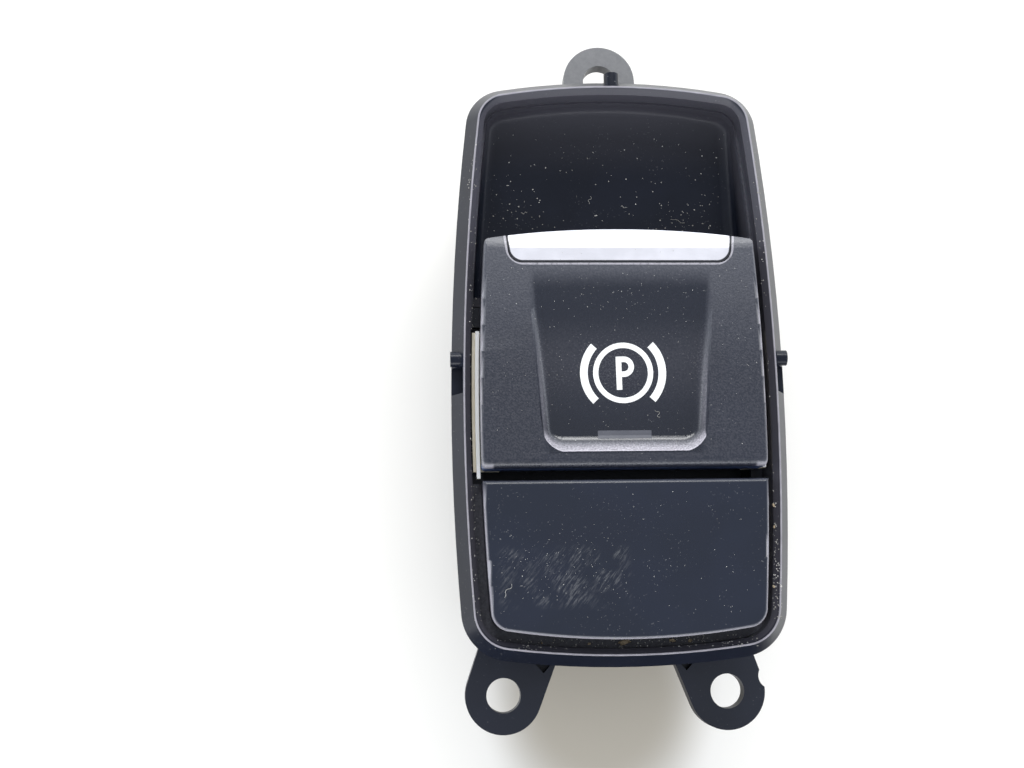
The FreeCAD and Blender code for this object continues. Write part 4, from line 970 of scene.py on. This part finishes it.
def arcPoints(centre, radius, start, end, count):
    points = []
    for index in range(count + 1):
        angle = math.radians(start + (end - start) * index / count)
        points.append(Vector((centre[0] + radius * math.cos(angle), centre[1] + radius * math.sin(angle))))
    return points


def linePoints(start, end, count):
    return [Vector(start).lerp(Vector(end), index / count) for index in range(count + 1)]


def layPrint(solid, path, width, closed, place):  # a thin solid ribbon along the path, on the lever
    rows = []
    last = len(path) - 1
    for index, point in enumerate(path):
        before = path[index - 1] if index else (path[last - 1] if closed else point)
        after = path[index + 1] if index < last else (path[1] if closed else point)
        side = (after - before).normalized().orthogonal()
        row = []
        for step in range(sign["across"] + 1):
            spot = place(point + side * width * (step / sign["across"] - 0.5))
            z = drop("lever", spot.x, spot.y)[0]
            row.append((spot.x, spot.y, z))
        rows.append(row)
    if closed:
        rows.pop()
    layers = []
    for lift in (sign["thick"], -sign["sink"]):
        layers.append([[solid.verts.new(Vector((x, y, z + lift)) * mm) for x, y, z in row] for row in rows])
    top, low = layers
    count = len(rows)
    for index in range(count if closed else count - 1):
        after = (index + 1) % count
        for step in range(sign["across"]):
            beside = step + 1
            solid.faces.new([top[index][step], top[index][beside], top[after][beside], top[after][step]])
            solid.faces.new([low[index][step], low[after][step], low[after][beside], low[index][beside]])
        for step in (0, sign["across"]):
            solid.faces.new([top[index][step], top[after][step], low[after][step], low[index][step]])
    if not closed:
        for index in (0, count - 1):
            for step in range(sign["across"]):
                beside = step + 1
                solid.faces.new([top[index][step], low[index][step], low[index][beside], top[index][beside]])


def finishMesh(name, solid):
    bmesh.ops.recalc_face_normals(solid, faces=solid.faces)
    mesh = bpy.data.meshes.new(name)
    solid.to_mesh(mesh)
    solid.free()
    return mesh


def makeSign():
    centre = Vector(sign["centre"])
    turn = Matrix.Rotation(math.radians(sign["turn"]), 2)

    def place(point):
        return turn @ point + centre

    solid = bmesh.new()
    ring = arcPoints((0, 0), sign["ringRadius"], 0, 360, sign["ringSteps"])
    layPrint(solid, ring, sign["ringStroke"], True, place)
    reach = sign["bracketReach"]
    for middle in (0, 180):
        start = middle - reach
        bracket = arcPoints((0, 0), sign["bracketRadius"], start, middle + reach, sign["bracketSteps"])
        layPrint(solid, bracket, sign["bracketStroke"], False, place)
    x, top, bottom = sign["letterStem"]
    half = sign["letterStroke"] / 2
    stem = linePoints((x, bottom), (x, top), sign["stemSteps"])
    layPrint(solid, stem, sign["letterStroke"], False, place)
    radius = sign["bowlRadius"]
    bar = top - half
    bend = x + half + sign["bowlReach"]
    low = bar - 2 * radius
    bowl = linePoints((x + half, bar), (bend, bar), sign["barSteps"])[:-1]
    bowl += arcPoints((bend, bar - radius), radius, 90, -90, sign["bowlSteps"])
    bowl += linePoints((bend, low), (x + half, low), sign["barSteps"])[1:]
    layPrint(solid, bowl, sign["letterStroke"], False, place)
    addPiece("brakeSign", finishMesh("brakeSign", solid), "lever", "signPaint")


def makeLampWindow():
    middle = (lampWindow["back"] + lampWindow["front"]) / 2
    path = linePoints((lampWindow["left"], middle), (lampWindow["right"], middle), lampWindow["steps"])
    solid = bmesh.new()
    layPrint(solid, path, lampWindow["front"] - lampWindow["back"], False, lambda point: point)
    mesh = finishMesh("lampWindow", solid)
    addPiece("lampWindow", mesh, "lever", "windowPlastic")


makeSign()
makeLampWindow()
say("sign and lamp window")

# Dust: specks grown by Geometry Nodes on points dropped in these zones. A zone is its left, right,
# back and front in mm and its count; a row's sizes are the smallest and largest radius.
dustZones = {
    "wellDust": ("housing", (0.03, 0.1), [
        (-17, 17, 18.5, 34, 130), (6, 15.5, 17.5, 25, 60), (-16, -8, 17.5, 27, 30),
    ]),
    "channelDust": ("housing", (0.04, 0.13), [
        (-20.4, -19.2, -35, 30, 190), (19.3, 20.4, -35, 30, 110), (-17.5, 17.5, -38.4, -37.0, 170),
        (19.2, 20.4, -35, -18, 130),
    ]),
    "blankDust": ("housing", (0.02, 0.055), [(-18, 18, -36, -17, 150), (-15, 0, -32, -24, 60)]),
    "leverDust": ("lever", (0.02, 0.055), [(-18, 18, -14, 16, 190), (-10, 10, -12, 10, 110)]),
}
dustSeed = 11
lying = 0.4  # dust stays where the surface's normal points up by this much or more
# A speck's smallest and largest half sizes beside its radius, and its tilt in radians
speckShape = {"least": (0.6, 0.6, 0.4), "most": (1.3, 1.3, 0.6), "tilt": 0.3}


def speckTree():
    group = bpy.data.node_groups.new("specks", "GeometryNodeTree")
    group.is_modifier = True
    kinds = {
        "Points": "Geometry", "Smallest": "Float", "Largest": "Float", "Seed": "Int",
        "Finish": "Material",
    }
    sockets = {}
    for label, kind in kinds.items():
        socket = group.interface.new_socket(label, in_out="INPUT", socket_type="NodeSocket" + kind)
        sockets[label] = socket.identifier
    group.interface.new_socket("Specks", in_out="OUTPUT", socket_type="NodeSocketGeometry")
    tree = Tree(group)
    source = group.nodes.new("NodeGroupInput")

    def given(label):
        return Wire(tree, source.outputs[label])

    points = tree.add("GeometryNodeMeshToPoints", None, {"Mesh": given("Points")})
    lump = tree.add("GeometryNodeMeshIcoSphere", None, {"Radius": 1.0, "Subdivisions": 1})
    size = tree.add("FunctionNodeRandomValue", {"data_type": "FLOAT"}, {
        2: given("Smallest"), 3: given("Largest"), "Seed": given("Seed"),
    }, 1)
    spread = tree.add("FunctionNodeRandomValue", {"data_type": "FLOAT_VECTOR"}, {
        0: speckShape["least"], 1: speckShape["most"], "Seed": given("Seed"),
    }, 0)
    scale = tree.add("ShaderNodeVectorMath", {"operation": "SCALE"}, {0: spread, "Scale": size})
    tilt = speckShape["tilt"]
    turn = tree.add("FunctionNodeRandomValue", {"data_type": "FLOAT_VECTOR"}, {
        0: (-tilt, -tilt, 0.0), 1: (tilt, tilt, math.tau), "Seed": given("Seed"),
    }, 0)
    specks = tree.add("GeometryNodeInstanceOnPoints", None, {
        "Points": points, "Instance": lump, "Rotation": turn, "Scale": scale,
    })
    real = tree.add("GeometryNodeRealizeInstances", None, {0: specks})
    dressed = tree.add("GeometryNodeSetMaterial", None, {"Geometry": real, "Material": given("Finish")})
    tree.add("NodeGroupOutput", None, {0: dressed})
    return group, sockets


specks, speckSockets = speckTree()


def makeDust(name, body, sizes, zones, seed):
    chance = random.Random(seed)
    places = []
    for left, right, back, front, count in zones:
        for _ in range(count):
            x = chance.uniform(left, right)
            y = chance.uniform(back, front)
            hit = drop(body, x, y)
            if hit and hit[1].z > lying:
                places.append(Vector((x, y, hit[0])) * mm)
    seeds = bpy.data.meshes.new(name + "Seeds")
    seeds.from_pydata(places, [], [])
    grower = linked(name + "Seeds", seeds)
    growth = grower.modifiers.new("specks", "NODES")
    growth.node_group = specks
    growth[speckSockets["Smallest"]] = sizes[0] * mm
    growth[speckSockets["Largest"]] = sizes[1] * mm
    growth[speckSockets["Seed"]] = seed
    growth[speckSockets["Finish"]] = finishes["dustGrit"]
    addPiece(name, settled(grower, name), body, "dustGrit")


for seed, (name, (body, sizes, zones)) in enumerate(dustZones.items(), dustSeed):
    makeDust(name, body, sizes, zones, seed)
say("dust")

# Fibres: fine curled threads, whose heading swings as they go. Each row is body, start, length,
# heading in degrees and curl.
fibres = {
    "radius": 0.022,
    "points": 9,
    "order": 3,
    "roundness": 1,
    "smoothness": 3,
    "wave": 1.1,
    "swing": 1.3,
    "rows": [
        ("housing", (-2.53, 24.38), 1.6, 70, 0.9), ("housing", (-12.48, 23.15), 1.2, 10, -0.8),
        ("housing", (2.89, 23.95), 1.0, 160, 0.7), ("housing", (9.4, 22.3), 2.2, -18, 0.35),
        ("housing", (-16.3, -31.59), 2.4, 55, 0.7), ("housing", (10.67, -37.9), 1.4, 100, 0.9),
        ("housing", (12.3, -37.9), 1.2, 20, -0.9), ("lever", (4.3, -7.15), 2.0, -70, 1.1),
    ],
}


def makeFibres(name, body):
    data = bpy.data.curves.new(name, "CURVE")
    data.dimensions = "3D"
    data.bevel_depth = fibres["radius"] * mm
    data.bevel_resolution = fibres["roundness"]
    data.resolution_u = fibres["smoothness"]
    data.use_fill_caps = True
    for owner, start, length, heading, curl in fibres["rows"]:
        if owner != body:
            continue
        line = data.splines.new("NURBS")
        line.points.add(fibres["points"] - 1)
        step = length / (fibres["points"] - 1)
        spot = Vector(start)
        for index, point in enumerate(line.points):
            height = drop(body, spot.x, spot.y)[0] + fibres["radius"]
            point.co = (*(Vector((spot.x, spot.y, height)) * mm), 1)
            angle = math.radians(heading) + curl * math.sin(index * fibres["wave"]) * fibres["swing"]
            spot = spot + Vector((math.cos(angle), math.sin(angle))) * step
        line.order_u = fibres["order"]
        line.use_endpoint_u = True
    thread = linked(name + "Line", data)
    addPiece(name, settled(thread, name), body, "dustGrit")


makeFibres("housingFibres", "housing")
makeFibres("leverFibres", "lever")

# Crumbs of dirt in the channel. Each row is centre, half sizes and turn in degrees.
crumbs = {
    "seed": 5,
    "rough": 0.3,
    "seat": 0.6,  # share of the half height between the surface and the centre
    "rows": [
        ((-0.21, -37.7), (0.8, 0.32, 0.3), 8), ((6.23, -37.6), (0.45, 0.22, 0.25), -20),
        ((8.65, -37.66), (0.3, 0.2, 0.2), 30), ((20.1, -20.0), (0.14, 0.25, 0.16), 10),
        ((20.05, -22.84), (0.12, 0.2, 0.14), 0), ((19.6, -30.73), (0.14, 0.2, 0.16), 40),
        ((-4.9, -37.8), (0.2, 0.14, 0.12), 15), ((-11.2, -37.6), (0.16, 0.12, 0.12), 60),
    ],
}


def makeCrumbs():
    chance = random.Random(crumbs["seed"])
    solid = bmesh.new()
    for (x, y), (long, wide, tall), turn in crumbs["rows"]:
        z = drop("housing", x, y)[0] + tall * crumbs["seat"]
        place = Matrix.Translation(Vector((x, y, z)) * mm) @ Matrix.Rotation(math.radians(turn), 4, "Z")
        shape = place @ Matrix.Diagonal((long * mm, wide * mm, tall * mm, 1))
        lump = bmesh.ops.create_icosphere(solid, subdivisions=2, radius=1.0, matrix=shape)["verts"]
        centre = shape.translation
        for vert in lump:
            rough = chance.uniform(-crumbs["rough"], crumbs["rough"])
            vert.co = centre + (vert.co - centre) * (1 + rough)
    addPiece("channelCrumbs", finishMesh("channelCrumbs", solid), "housing", "crumbGrit")


makeCrumbs()
say("fibres and crumbs")

sizes = {"cad": [list(corner) for corner in cadBounds], "visual": [list(corner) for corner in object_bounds()]}
